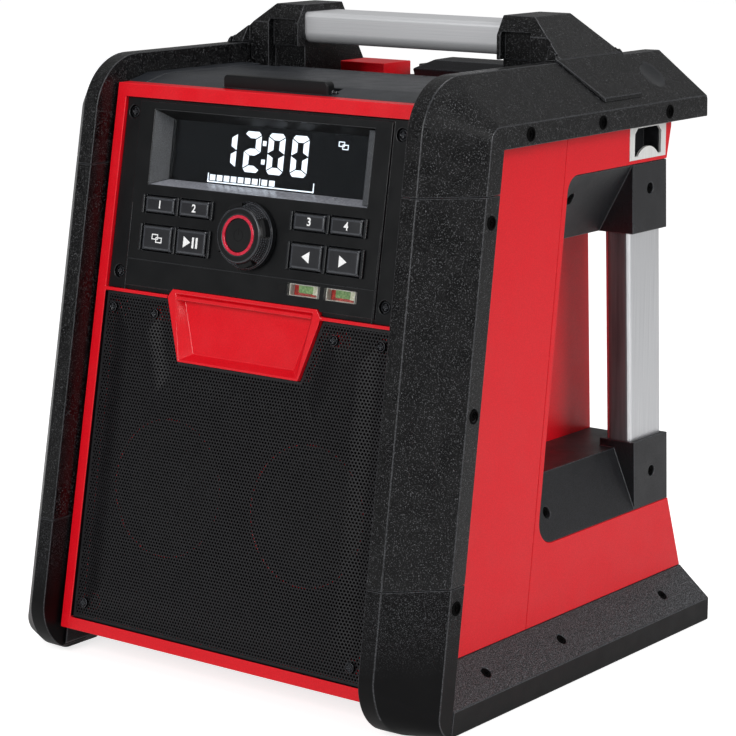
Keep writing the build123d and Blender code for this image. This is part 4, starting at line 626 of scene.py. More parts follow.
def ring_unit(outer: float, inner: float, height: float) -> bpy.types.Mesh:
    """Flat ring round the X axis, standing on x = 0 with its root below.

    Args:
        outer: Outer radius.
        inner: Inner radius.
        height: Size along x.

    Returns:
        The unit mesh.
    """
    steps, root, slope = 28, 0.3, 0.5
    turns = [math.radians(360 / steps * i) for i in range(steps)]
    section = ((outer, -root), (outer, 0.4 * height), (outer - slope, height), (inner, height), (inner, -root))
    points = [(x, r * math.cos(t), r * math.sin(t)) for r, x in section for t in turns]
    faces = []
    for loop in range(len(section)):
        here, after = steps * loop, steps * ((loop + 1) % len(section))
        faces += [(here + i, here + (i + 1) % steps, after + (i + 1) % steps, after + i) for i in range(steps)]
    mesh = bpy.data.meshes.new("ring_unit")
    mesh.from_pydata(points, [], faces)
    return mesh


def tile_unit(pitch: float, row: float, radius: float, depth: float) -> bpy.types.Mesh:
    """One tile of a perforated sheet: a six-sided hole with its wall.

    Args:
        pitch: Width of the tile.
        row: Height of the tile.
        radius: Radius of the hole.
        depth: Depth of its wall.

    Returns:
        The unit mesh.
    """
    x, y = pitch / 2, row / 2
    corners = [(x, y), (-x, y), (-x, -y), (x, -y)]
    rim = [(radius * math.cos(math.radians(60 * i)), radius * math.sin(math.radians(60 * i))) for i in range(6)]
    points = [(*p, 0.0) for p in corners + rim] + [(*p, -depth) for p in rim]
    faces = [(0, 1, 6, 5), (2, 3, 9, 8), (0, 5, 4), (0, 4, 3), (3, 4, 9), (1, 7, 6), (1, 2, 7), (2, 8, 7)]
    faces += [(4 + i, 4 + (i + 1) % 6, 10 + (i + 1) % 6, 10 + i) for i in range(6)]
    mesh = bpy.data.meshes.new("tile_unit")
    mesh.from_pydata(points, [], faces)
    return mesh


# ------------------------------------------------------------------ what every sub-assembly uses
@dataclass
class Kit:
    """The frame's nodes, the materials, and the pieces made so far.

    Attributes:
        nodes: CAD nodes by name.
        materials: Material of each finish.
        made: Names of the dressed and new pieces, in order.
    """

    nodes: dict[str, bpy.types.Object]
    materials: dict[Finish, bpy.types.Material]
    made: list[str] = field(default_factory=list)

    def keep(self, name: str, mesh: bpy.types.Mesh, body: str) -> bpy.types.Object:
        """Link a finished mesh and let it ride on a body.

        Args:
            name: Name of the piece.
            mesh: Its mesh, in the row frame.
            body: CAD body that carries it.

        Returns:
            The new object.
        """
        mesh.name = name
        piece = link(name, mesh)
        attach(piece, body)
        self.made.append(name)
        return piece

    def dress(self, finish: Finish, names: tuple[str, ...], edge: Finish | None = None, width: float = 0.0) -> None:
        """Give CAD nodes their material and, where asked, rounded edges.

        Args:
            finish: Material of the faces.
            names: The nodes.
            edge: Material of the rounded edges, paler than the faces: a painted highlight; the faces' own if left
                out.
            width: Width of the rounded edges.
        """
        for name in names:
            node = self.nodes[name]
            node.data.materials.clear()
            node.data.materials.append(self.materials[finish])
            for polygon in node.data.polygons:
                polygon.use_smooth = width > 0
            if width > 0:
                self.soften(node, width, edge)
            self.made.append(name)

    def soften(self, node: bpy.types.Object, width: float, edge: Finish | None) -> None:
        """Merge the loose triangles of a CAD node and round its edges; flats keep their own normals.

        Args:
            node: The node.
            width: Width of the rounded edges.
            edge: Material of the rounded edges, paler than the faces: a painted highlight; the faces' own if None.
        """
        weld = node.modifiers.new("Weld", "WELD")
        weld.merge_threshold = 0.02 * MM
        planar = node.modifiers.new("Planar", "DECIMATE")
        planar.decimate_type = "DISSOLVE"
        planar.angle_limit = math.radians(1.0)
        bevel = node.modifiers.new("Bevel", "BEVEL")
        bevel.width = width * MM
        bevel.segments = 2
        bevel.limit_method = "ANGLE"
        bevel.angle_limit = math.radians(28)
        bevel.loop_slide = False
        bevel.use_clamp_overlap = False
        # the rounded edges take the paler edge finish: a painted highlight line
        if edge:
            node.data.materials.append(self.materials[edge])
            bevel.material = len(node.data.materials) - 1
        normals = node.modifiers.new("Normals", "WEIGHTED_NORMAL")
        normals.mode = "FACE_AREA"
        normals.keep_sharp = False

    def paint(self, name: str, finish: Finish, box: tuple[Triple, Triple], towards: Vector | None = None) -> None:
        """Give the faces of a CAD node inside a box another material.

        Args:
            name: The node.
            finish: The material.
            box: Lowest and highest corner of the box.
            towards: Only faces within about 25 degrees of this direction, if given.
        """
        node = self.nodes[name]
        node.data.materials.append(self.materials[finish])
        index = len(node.data.materials) - 1
        for polygon in node.data.polygons:
            place = polygon.center / MM
            if towards is not None and polygon.normal.dot(towards) < 0.9:
                continue
            if all(a <= p <= b for a, p, b in zip(box[0], place, box[1])):
                polygon.material_index = index

    def raise_shapes(self, relief: Relief) -> bpy.types.Object:
        """Make one piece from flat shapes raised over the front plane.

        Args:
            relief: What to raise.

        Returns:
            The new object.
        """
        bm = bmesh.new()
        high_verts: set[bmesh.types.BMVert] = set()
        for shape in relief.shapes:
            low = [bm.verts.new((*point, relief.low)) for point in shape]
            high = [bm.verts.new((*point, relief.high)) for point in shape]
            high_verts.update(high)
            bm.faces.new(high)
            bm.faces.new(low[::-1])
            for index in range(len(shape)):
                after = (index + 1) % len(shape)
                bm.faces.new((low[index], low[after], high[after], high[index]))
        if relief.bevel:
            rims = [edge for edge in bm.edges if all(vert in high_verts for vert in edge.verts)]
            bmesh.ops.bevel(bm, geom=rims, offset=relief.bevel, segments=2, affect="EDGES", profile=0.5)
        bmesh.ops.recalc_face_normals(bm, faces=bm.faces)
        mesh = bpy.data.meshes.new(relief.name)
        bm.to_mesh(mesh)
        bm.free()
        mesh.transform(FRONT.matrix())
        mesh.materials.append(self.materials[relief.finish])
        return self.keep(relief.name, mesh, relief.body)


class Repeat(Graph):
    """Geometry Nodes tree that repeats one unit mesh, with named inputs for its sizes."""

    def __init__(self, name: str, sizes: dict[str, float | int]) -> None:
        """Start the tree.

        Args:
            name: Name of the tree and of the piece.
            sizes: Named inputs and their values.
        """
        super().__init__(bpy.data.node_groups.new(name, "GeometryNodeTree"))
        self.name = name
        self.sizes = sizes
        interface = self.tree.interface
        interface.new_socket("Unit", in_out="INPUT", socket_type="NodeSocketGeometry")
        interface.new_socket("Result", in_out="OUTPUT", socket_type="NodeSocketGeometry")
        for label, value in sizes.items():
            kind = "NodeSocketInt" if isinstance(value, int) else "NodeSocketFloat"
            interface.new_socket(label, in_out="INPUT", socket_type=kind)
        self.size = self.add("NodeGroupInput").outputs

    def realize(self, points: object, turn: object = (0.0, 0.0, 0.0)) -> bpy.types.Node:
        """Put the unit on each point and realize it.

        Args:
            points: Geometry with the points.
            turn: Rotation of each unit.

        Returns:
            The node that realizes the instances.
        """
        links = {"Points": points, "Instance": self.size["Unit"], "Rotation": turn}
        return self.add("GeometryNodeRealizeInstances", {0: self.add("GeometryNodeInstanceOnPoints", links)})

    def bake(self, kit: Kit, result: object, unit: bpy.types.Mesh, finish: Finish, matrix: Matrix,
             body: str = "root") -> bpy.types.Object:
        """Run the tree on the unit and keep the result as a plain mesh.

        Args:
            kit: What keeps the piece.
            result: Final geometry.
            unit: Unit mesh, in millimetres.
            finish: Material of the piece.
            matrix: From the tree's frame to the row frame.
            body: CAD body that carries the piece.

        Returns:
            The new object.
        """
        links = {"Geometry": result, "Material": kit.materials[finish]}
        self.add("NodeGroupOutput", {0: self.add("GeometryNodeSetMaterial", links)})
        source = link(self.name, unit)
        modifier = source.modifiers.new("Repeat", "NODES")
        modifier.node_group = self.tree
        for item in self.tree.interface.items_tree:
            if item.in_out == "INPUT" and item.name in self.sizes:
                modifier[item.identifier] = self.sizes[item.name]
        mesh = flatten(source)
        mesh.transform(matrix)
        if matrix.determinant() < 0:
            mesh.flip_normals()
        return kit.keep(self.name, mesh, body)


class Row(Repeat):
    """Tree that sets its unit at equal steps along a line; units is what it realizes."""

    def __init__(self, name: str, count: int, start: Triple, step: Triple) -> None:
        """Start the tree with its named inputs.

        Args:
            name: Name of the tree and of the piece.
            count: Number of units.
            start: Place of the first one.
            step: From one to the next.
        """
        sizes: dict[str, float | int] = {"Count": count}
        for word, place in (("Start", start), ("Step", step)):
            sizes |= {f"{word} {axis}": float(value) for axis, value in zip("XYZ", place)}
        super().__init__(name, sizes)
        first, offset = (
            self.add("ShaderNodeCombineXYZ", {i: self.size[f"{word} {axis}"] for i, axis in enumerate("XYZ")})
            for word in ("Start", "Step")
        )
        links = {"Count": self.size["Count"], "Start Location": first, "Offset": offset}
        self.units = self.realize(self.add("GeometryNodeMeshLine", links))


# ------------------------------------------------------------------ sub-assemblies
@dataclass
class Assembly:
    """Part of the radio that is built and dressed together.

    Attributes:
        kit: Nodes and materials.
    """

    kit: Kit


@dataclass
class Housing(Assembly):
    """Red front and rear shells, the base tray and its feet.

    Attributes:
        edge: Width of the rounded edges of the shells.
        tray_edge: Width of the rounded edges of the base tray.
        foot_edge: Width of the rounded edges of the feet.
        pocket: Depth of the pocket behind the bottle opener, and its distance from the plate's ends; its red walls
            are painted black, as painted shade.
        baffle: Half width, lowest and highest point of the baffle behind the grille.
        shield: Half width and lowest point of the shield in front of it.
        shade_depths: Deepest face, over the plane, that takes the painted shade behind the grille, and the
            shallowest behind the shield and elsewhere.
        strip: Half width at which the sloped strips of the base begin, and their lowest and highest point.
        band_top: Top of the plain bands below them.
    """

    edge: float = 0.5
    tray_edge: float = 0.5
    foot_edge: float = 0.4
    pocket: Pair = (16.0, 5.0)
    baffle: Triple = (131.0, 24.0, 262.0)
    shield: Pair = (92.0, 200.0)
    shade_depths: Triple = (-60.0, -8.5, -1.5)
    strip: Triple = (140.0, 8.0, 45.0)
    band_top: float = 30.0

    def build(self) -> None:
        """Dress the shells, the tray and the feet."""
        self.paint_baffle_shade()
        self.kit.dress(Finish.RED, ("rear_housing",), None, self.edge)
        low, high = ([value / MM for value in corner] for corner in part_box("bottle_opener"))
        depth, rim = self.pocket
        pocket = ((low[0] - depth, low[1] + rim, low[2]), (low[0] + 0.1, high[1] - rim, high[2]))
        # the pocket's red walls behind the opener are painted black nylon: painted shade in the recess
        self.kit.paint("rear_housing", Finish.NYLON, pocket)
        self.kit.dress(Finish.NYLON, ("base_tray",), Finish.NYLON_EDGE_PAINTED_HIGHLIGHT, self.tray_edge)
        inner, foot, top = self.strip
        for side in (-1, 1):
            near, far = sorted((side * inner, side * REACH))
            strip = ((near, -REACH, foot), (far, REACH, top))
            band = ((near, -REACH, UNDER), (far, REACH, self.band_top))
            self.kit.paint("base_tray", Finish.STRIP, strip, Vector((side * 0.6, 0.0, 0.8)))
            self.kit.paint("base_tray", Finish.SMOOTH_RUBBER, band, Vector((side, 0.0, 0.0)))
        self.kit.dress(Finish.SMOOTH_RUBBER, ("rubber_feet",), None, self.foot_edge)

    def paint_baffle_shade(self) -> None:
        """Dress the front shell, and paint shade, near-black with a trace of red, on what lies behind the grille."""
        self.kit.dress(Finish.RED, ("front_housing",), Finish.RED_EDGE_PAINTED_HIGHLIGHT, self.edge)
        node = self.kit.nodes["front_housing"]
        node.data.materials.append(self.kit.materials[Finish.CLOTH])
        index = len(node.data.materials) - 1
        to_plane = FRONT.matrix().inverted()
        half, low, high = self.baffle
        back, shielded, front = self.shade_depths
        for polygon in node.data.polygons:
            x, y, z = to_plane @ polygon.center
            limit = shielded if y > self.shield[1] and abs(x) < self.shield[0] else front
            if abs(x) < half and low < y < high and back < z < limit:
                polygon.material_index = index


@dataclass
class Bumpers(Assembly):
    """Rubber guards of both sides.

    Attributes:
        edge: Width of their rounded edges.
        dish: Middle and radius of the thumb dish on the right side.
        hole_shade: Outer radius, inner radius and height of a near-black ring in each screw hole, painted shade of
            the hole.
        in_row: Rings in a row.
        rows: First ring and step of each row, on the right side.
    """

    edge: float = 0.55
    dish: Quad = (156.0, 126.0, 396.0, 12.6)
    hole_shade: Triple = (4.7, 3.3, 0.35)
    in_row: int = 3
    rows: tuple[tuple[Triple, Triple], ...] = (((178.1, -132.2, 83.9), (-2.05, 20.1, 118.7)),
                                               ((173.1, -48.2, 372.2), (0.0, 83.85, 0.0)))

    def build(self) -> None:
        """Dress the six guards and set a near-black ring of painted shade in each screw hole."""
        for side, sign in (("left", -1), ("right", 1)):
            grained = (f"bumper_upper_{side}", f"bumper_middle_{side}")
            self.kit.dress(Finish.SPECKLED, grained, Finish.SPECKLED_EDGE_PAINTED_HIGHLIGHT, self.edge)
            self.kit.dress(Finish.LOWER_RUBBER, (f"bumper_lower_{side}",), Finish.SPECKLED_EDGE_PAINTED_HIGHLIGHT, self.edge)
            self.polish_dish(grained[0], sign)
            for index, (first, step) in enumerate(self.rows):
                row = Row(f"screw_hole_shade_{side}_{index}", self.in_row, first, step)
                row.bake(self.kit, row.units, ring_unit(*self.hole_shade), Finish.STEEL_PAINTED_SHADE,
                         Matrix.Diagonal((sign * MM, MM, MM, 1)))

    def polish_dish(self, name: str, sign: int) -> None:
        """Give the thumb dish of an upper guard a smooth finish.

        Args:
            name: The guard.
            sign: 1 for the right side, -1 for the left.
        """
        mesh = self.kit.nodes[name].data
        mesh.materials.append(self.kit.materials[Finish.PANEL_EDGE_PAINTED_HIGHLIGHT])
        x, y, z, radius = self.dish
        middle = Vector((sign * x, y, z)) * MM
        for polygon in mesh.polygons:
            if all((mesh.vertices[index].co - middle).length < radius * MM for index in polygon.vertices):
                polygon.material_index = len(mesh.materials) - 1


@dataclass
class Handles(Assembly):
    """Top handle, side grips and the bottle opener.

    Attributes:
        bracket_edge: Width of the rounded edges of the rubber brackets.
        grip_edge: Width of the rounded edges of the grip brackets.
        metal_edge: Width of the rounded edges of the top tube and the opener.
    """

    bracket_edge: float = 0.5
    grip_edge: float = 0.5
    metal_edge: float = 0.2

    def build(self) -> None:
        """Dress brackets, tubes and the opener."""
        for side in ("left", "right"):
            self.kit.dress(Finish.SPECKLED, (f"handle_bracket_{side}",), Finish.SPECKLED_EDGE_PAINTED_HIGHLIGHT, self.bracket_edge)
            grips = (f"grip_bracket_upper_{side}", f"grip_bracket_lower_{side}")
            self.kit.dress(Finish.NYLON, grips, Finish.NYLON_EDGE_PAINTED_HIGHLIGHT, self.grip_edge)
            tube = f"side_grip_tube_{side}"
            self.kit.dress(Finish.UPRIGHT_ALUMINIUM, (tube,))
            everywhere = ((-REACH, -REACH, UNDER), (REACH, REACH, TOP))
            # the flank facing the front is painted dark grey: painted shade
            self.kit.paint(tube, Finish.ALUMINIUM_PAINTED_SHADE, everywhere, Vector((0, -1, 0)))
        self.kit.dress(Finish.ALUMINIUM, ("top_handle_tube",), None, self.metal_edge)
        self.kit.dress(Finish.ZINC, ("bottle_opener",), None, self.metal_edge)


@dataclass
class Deck(Assembly):
    """Top deck with the storage lid and its latch.

    Attributes:
        edge: Width of the rounded edges of the deck and the lid.
        latch_edge: Width of the rounded edges of the latch.
    """

    edge: float = 0.5
    latch_edge: float = 0.5

    def build(self) -> None:
        """Dress the deck, the lid and what holds it."""
        self.kit.dress(Finish.DECK, ("top_deck", "storage_lid"), Finish.NYLON_EDGE_PAINTED_HIGHLIGHT, self.edge)
        self.kit.dress(Finish.PANEL, ("lid_latch",), Finish.KEY_EDGE_PAINTED_HIGHLIGHT, self.latch_edge)
        self.kit.dress(Finish.NYLON, ("storage_bin",))
        self.kit.dress(Finish.SMOOTH_RUBBER, ("lid_seal",))
        self.kit.dress(Finish.ZINC, ("lid_hinge_pin",))


@dataclass(frozen=True)
class Guide:
    """One colour of the light guides under a clear lens.

    Attributes:
        name: Name of the piece.
        finish: Material.
        offset: Its middle from that of the lens, across and up.
        size: Width, height and corner radius.
        height: Its face over the floor of the trough.
    """

    name: str
    finish: Finish
    offset: Pair
    size: Triple
    height: float


@dataclass
class ControlPanel(Assembly):
    """Black panel with its indicator lenses, light sensor and fine lines.

    Attributes:
        edge: Width of the rounded edges.
        face: Height of the raised area over the front plane.
        half: Half width of the raised area.
        line: Width of the fine lines.
        line_insets: How far the ends of the line across, and the upright lines, stay inside the raised area.
        line_height: The line that runs across, up the plane.
        uprights: Middle and length of the lines at both sides, up the plane.
        raised: Foot and face of the sensor and the lines, over the raised area.
        lens_places: Middle of each lens, across.
        lens_height: Middle of the lenses, up the plane.
        trough: Floor of the light guides, below the plane.
        guides: The light guides, from the lowest up.
        rim: Width, height and bar of the rim round them.
        sensor: Place, size and corner radius of the light sensor.
        sill: Lowest and highest point of the display's sill, up the plane.
        recess_top: Highest point of the display recess, up the plane.
        bar: Place and size of the upright bar at the right end of the recess.
        bar_heights: Foot and face of that bar over the plane.
    """

    edge: float = 0.4
    face: float = 1.2
    half: float = 106.5
    line: float = 0.8
    line_insets: Pair = (0.75, 1.2)
    line_height: float = 279.4
    uprights: Pair = (287.0, 60.0)
    raised: Pair = (-0.1, 0.25)
    lens_places: Pair = (48.4, 78.6)
    lens_height: float = 273.1
    trough: float = -7.6
    guides: tuple[Guide, ...] = (
        Guide("light_guide_red", Finish.RED_CELL, (0.0, 0.0), (22.4, 7.2, 0.8), 0.5),
        Guide("light_guide_green", Finish.GREEN_CELL, (-1.2, 0.8), (12.0, 5.0, 0.8), 1.7),
        Guide("light_guide_pale", Finish.PALE_CELL, (7.2, 0.6), (6.4, 5.4, 0.8), 1.5),
    )
    rim: Triple = (23.2, 8.0, 0.6)
    sensor: tuple[float, float, float, float, float] = (30.4, 272.6, 6.6, 5.6, 1.2)
    sill: Pair = (326.0, 336.0)
    recess_top: float = 381.0
    bar: Quad = (90.4, 355.4, 6.4, 48.0)
    bar_heights: Pair = (-12.5, 0.4)

    def build(self) -> None:
        """Dress the panel and add its trim."""
        self.kit.dress(Finish.PANEL, ("control_panel",), Finish.PANEL_EDGE_PAINTED_HIGHLIGHT, self.edge)
        self.dress_recess()
        self.kit.dress(Finish.LENS, ("indicator_lenses",))
        self.add_light_guides()
        low, high = (self.face + level for level in self.raised)
        sensor = [oblong(*self.sensor)]
        self.kit.raise_shapes(Relief("light_sensor", sensor, low, high, Finish.ENGRAVED_AND_PAINTED_SHADE, bevel=0.15))
        # the bar takes the paler slope finish: painted light
        self.kit.raise_shapes(Relief("recess_bar", [oblong(*self.bar)], *self.bar_heights, Finish.SLOPE_PAINTED_LIGHT, bevel=1.4))
        across, side = (self.half - gap for gap in self.line_insets)
        middle, length = self.uprights
        lines = [oblong(0, self.line_height, 2 * across, self.line)]
        lines += [oblong(x, middle, self.line, length) for x in (side, -side)]
        # the fine lines take the paler edge finish: a painted highlight
        self.kit.raise_shapes(Relief("panel_lines", lines, low, high, Finish.PANEL_EDGE_PAINTED_HIGHLIGHT, bevel=0.2))

    def dress_recess(self) -> None:
        """Paint the slopes round the display: a painted reflection on the sill below, painted light on the slopes
        beside it and painted shade on the slope above.
        """
        node = self.kit.nodes["control_panel"]
        index = len(node.data.materials)
        for finish in (Finish.SILL_PAINTED_REFLECTION, Finish.SLOPE_PAINTED_LIGHT, Finish.ENGRAVED_AND_PAINTED_SHADE):
            node.data.materials.append(self.kit.materials[finish])
        to_plane = FRONT.matrix().inverted()
        turned = to_plane.to_3x3().normalized()
        low, high = self.sill
        lean = 0.35
        for polygon in node.data.polygons:
            y, facing = (to_plane @ polygon.center).y, turned @ polygon.normal
            # the sill below the display: painted reflection
            if low < y < high and facing.y > lean and facing.z > 0.1:
                polygon.material_index = index
            # the slopes beside it: painted light
            elif abs(facing.x) > 0.6 and facing.z > 0.3 and low < y < self.recess_top:
                polygon.material_index = index + 1
            # the slope above it: painted shade
            elif facing.y < -lean and y > high:
                polygon.material_index = index + 2

    def add_light_guides(self) -> None:
        """Red trough, green middle and pale end under each clear lens, in a pale rim."""
        y, floor = self.lens_height, self.trough
        for guide in self.guides:
            along, up = guide.offset
            shapes = [oblong(x + along, y + up, *guide.size) for x in self.lens_places]
            self.kit.raise_shapes(Relief(guide.name, shapes, floor, floor + guide.height, guide.finish, bevel=0.3))
        rims = [bar for x in self.lens_places for bar in frame_bars(x, y, *self.rim)]
        self.kit.raise_shapes(Relief("light_guide_rims", rims, floor, self.face - 0.6, Finish.RIM))


@dataclass
class Display(Assembly):
    """Backlit digits, level gauge and link mark behind the smoked window.

    Attributes:
        film: Face of the display film, below the front plane.
        lit: Foot and face of what is lit, over the film.
        digits: Lit segments, a to g, and left edge of each digit.
        colon: Middle of the colon across, and of its dots up the plane.
        link: Middles of the two frames of the link mark.
        digit_width: Width of a digit.
        digit_span: Lowest and highest point of the digits, up the plane.
        stroke: Width of a lit segment.
        gap: Half of the gap between two segments.
        gauge: Middle across, height up the plane and width of the gauge.
        cell: Width and height of a lit cell of the gauge.
        cell_pitch: Distance between the seven cells before the tick.
        last_cells: Middle of each cell past the tick, from the gauge's left end.
        tick: The tick, from the gauge's left end.
    """

    film: float = -13.9
    lit: Pair = (0.02, 0.10)
    digits: tuple[tuple[str, float], ...] = (("bc", -44.9), ("abged", -24.3), ("abcdef", -4.1), ("abcdef", 15.9))
    colon: tuple[float, Pair] = (-7.4, (352.6, 364.8))
    link: tuple[Pair, ...] = ((56.4, 369.0), (59.6, 367.2))
    digit_width: float = 14.0
    digit_span: Pair = (345.0, 372.0)
    stroke: float = 4.5
    gap: float = 0.35
    gauge: Triple = (-8.2, 336.3, 90.6)
    cell: Pair = (4.7, 3.8)
    cell_pitch: float = 6.1
    last_cells: Pair = (49.0, 55.4)
    tick: float = 45.0

    def build(self) -> None:
        """Dress the display and light it."""
        self.kit.dress(Finish.WINDOW, ("display_window",))
        self.kit.dress(Finish.DISPLAY, ("display_module",))
        digits = [shape for lit, left in self.digits for shape in self.digit(lit, left)]
        x, dots = self.colon
        digits += [oblong(x, y, 3.0, 3.2) for y in dots]
        link = [bar for place in self.link for bar in frame_bars(*place, 5.0, 3.4, 0.6)]
        low, high = (self.film + level for level in self.lit)
        for name, shapes in (("digits", digits), ("gauge", self.level()), ("link_mark", link)):
            relief = Relief(f"display_{name}", shapes, low, high, Finish.SEGMENT)
            self.kit.raise_shapes(relief)

    def digit(self, lit: str, left: float) -> list[Outline]:
        """Seven-segment digit with cut outer corners.

        Args:
            lit: Letters of the lit segments, a to g.
            left: Left edge.

        Returns:
            Outlines of the lit segments.
        """
        x0, x1 = left, left + self.digit_width
        y0, y1 = self.digit_span
        t, g, m = self.stroke, self.gap, sum(self.digit_span) / 2
        cut = t * 0.45
        shapes = {"g": [(x0 + g, m), (x0 + t + g, m - t / 2), (x1 - t - g, m - t / 2),
                        (x1 - g, m), (x1 - t - g, m + t / 2), (x0 + t + g, m + t / 2)]}
        for name, y, way in (("a", y1, -1), ("d", y0, 1)):
            shapes[name] = [(x0 + g, y + way * cut), (x0 + cut + g, y), (x1 - cut - g, y), (x1 - g, y + way * cut),
                            (x1 - t - g, y + way * t), (x0 + t + g, y + way * t)]
        corners = (("f", x0, y1, 1, -1), ("b", x1, y1, -1, -1), ("e", x0, y0, 1, 1), ("c", x1, y0, -1, 1))
        for name, x, y, side, way in corners:
            shapes[name] = [(x, y + way * (cut + 2 * g)), (x + side * t, y + way * (t + 2 * g)),
                            (x + side * t, m - way * (t / 2 + g)), (x, m - way * g)]
        return [shapes[letter] for letter in lit]

    def level(self) -> list[Outline]:
        """Draw the level gauge: a frame open at the top, a tick and nine lit cells.

        Returns:
            Its outlines.
        """
        x, y, width = self.gauge
        left, right = x - width / 2, x + width / 2
        shapes = [oblong(x, y, width, 0.8)]
        shapes += [oblong(end, y + 2.7, 0.8, 6.2) for end in (left + 0.3, right - 0.3)]
        shapes.append(oblong(left + self.tick, y + 3.0, 0.7, 4.8))
        cells = [4.2 + self.cell_pitch * index for index in range(7)] + list(self.last_cells)
        return shapes + [oblong(left + cell, y + 2.9, *self.cell) for cell in cells]


@dataclass
class Keys(Assembly):
    """Eight push buttons with their marks, and the ribs beside them.

    Attributes:
        names: What the keys do, left to right, the upper row first.
        face: Height of the key faces over the front plane.
        ink: Foot and face of a printed mark over a key.
        half: Half height of the arrows.
        group: Middle of each group of four, across.
        pitch: Distance between the keys of a pair.
        rows: Height up the plane and height of the keys of each row.
        edge: Width of the rounded rims.
        ribs: Ribs beside and between a pair of keys.
        rib: Width, height over the panel and rounded edge of a rib.
        gap: What the ribs' pitch has over that of the keys.
        root: Depth of a rib's foot in the panel.
        numeral_size: Size of the numbers.
        panel_face: Height of the raised panel over the front plane.
    """

    names: tuple[str, ...] = ("mode", "preset", "equaliser", "clock", "link", "play", "previous", "next")
    face: float = 3.2
    ink: Pair = (-0.02, 0.06)
    half: float = 3.8
    group: float = 64.0
    pitch: float = 30.2
    rows: tuple[Pair, ...] = ((317.2, 11.4), (294.8, 17.2))
    edge: float = 1.3
    ribs: int = 3
    rib: Triple = (2.4, 2.0, 0.6)
    gap: float = 0.1
    root: float = 0.3
    numeral_size: float = 7.4
    panel_face: float = 1.2

    def build(self) -> None:
        """Dress the keys and add marks and ribs."""
        self.kit.dress(Finish.KEY, tuple(f"button_{name}" for name in self.names), Finish.KEY_EDGE_PAINTED_HIGHLIGHT, self.edge)
        columns = [side * self.group + step * self.pitch / 2 for side in (-1, 1) for step in (-1, 1)]
        for index, (name, x) in enumerate(zip(self.names[:4], columns)):
            self.numeral(f"mark_{name}", str(index + 1), x, self.rows[0][0], f"key_{name}")
        low, high = (self.face + level for level in self.ink)
        for name, shapes in self.playback_marks(columns).items():
            self.kit.raise_shapes(Relief(f"mark_{name}", shapes, low, high, Finish.PRINT, f"key_{name}"))
        self.add_ribs()

    def playback_marks(self, columns: list[float]) -> dict[str, list[Outline]]:
        """Draw the marks on the large keys.

        Args:
            columns: Middle of each key, across.

        Returns:
            Outlines of each key's mark.
        """
        y, half = self.rows[1][0], self.half
        link, play, back, ahead = columns
        frames = ((link - 1.6, y + 0.9), (link + 1.9, y - 1.1))
        return {
            "link": [bar for place in frames for bar in frame_bars(*place, 5.6, 3.8, 0.7)],
            "play": [[(play - 6.4, y - half), (play - 0.2, y), (play - 6.4, y + half)],
                     oblong(play + 2.0, y, 1.7, 7.2), oblong(play + 5.2, y, 1.7, 7.2)],
            "previous": [[(back - 3.2, y), (back + 3.0, y - half), (back + 3.0, y + half)]],
            "next": [[(ahead + 3.2, y), (ahead - 3.0, y + half), (ahead - 3.0, y - half)]],
        }

    def numeral(self, name: str, text: str, x: float, y: float, body: str) -> None:
        """Print a plain number on a key.

        Args:
            name: Name of the piece.
            text: The number.
            x: Centre, across.
            y: Centre, up the plane.
            body: CAD body that carries it.
        """
        curve = bpy.data.curves.new(name, "FONT")
        curve.body, curve.size = text, self.numeral_size
        curve.align_x, curve.align_y = "CENTER", "CENTER"
        curve.extrude, curve.offset = 0.03, 0.14
        mesh = flatten(link(name, curve))
        mesh.transform(FRONT.matrix() @ Matrix.Translation((x, y, self.face + 0.04)))
        mesh.materials.clear()
        mesh.materials.append(self.kit.materials[Finish.PRINT])
        self.kit.keep(name, mesh, body)

    def add_ribs(self) -> None:
        """Finger ribs beside and between the keys of each pair."""
        width, rise, edge = self.rib
        for level, (y, height) in zip(("upper", "lower"), self.rows):
            for side, sign in (("left", -1), ("right", 1)):
                first = (sign * self.group - self.pitch - self.gap, y, self.panel_face - self.root)
                row = Row(f"key_ribs_{level}_{side}", self.ribs, first, (self.pitch + self.gap, 0.0, 0.0))
                unit = bar_unit(width, height + 1.0, rise + self.root, edge)
                # the ribs take the paler edge finish: a painted highlight
                row.bake(self.kit, row.units, unit, Finish.PANEL_EDGE_PAINTED_HIGHLIGHT, FRONT.matrix())


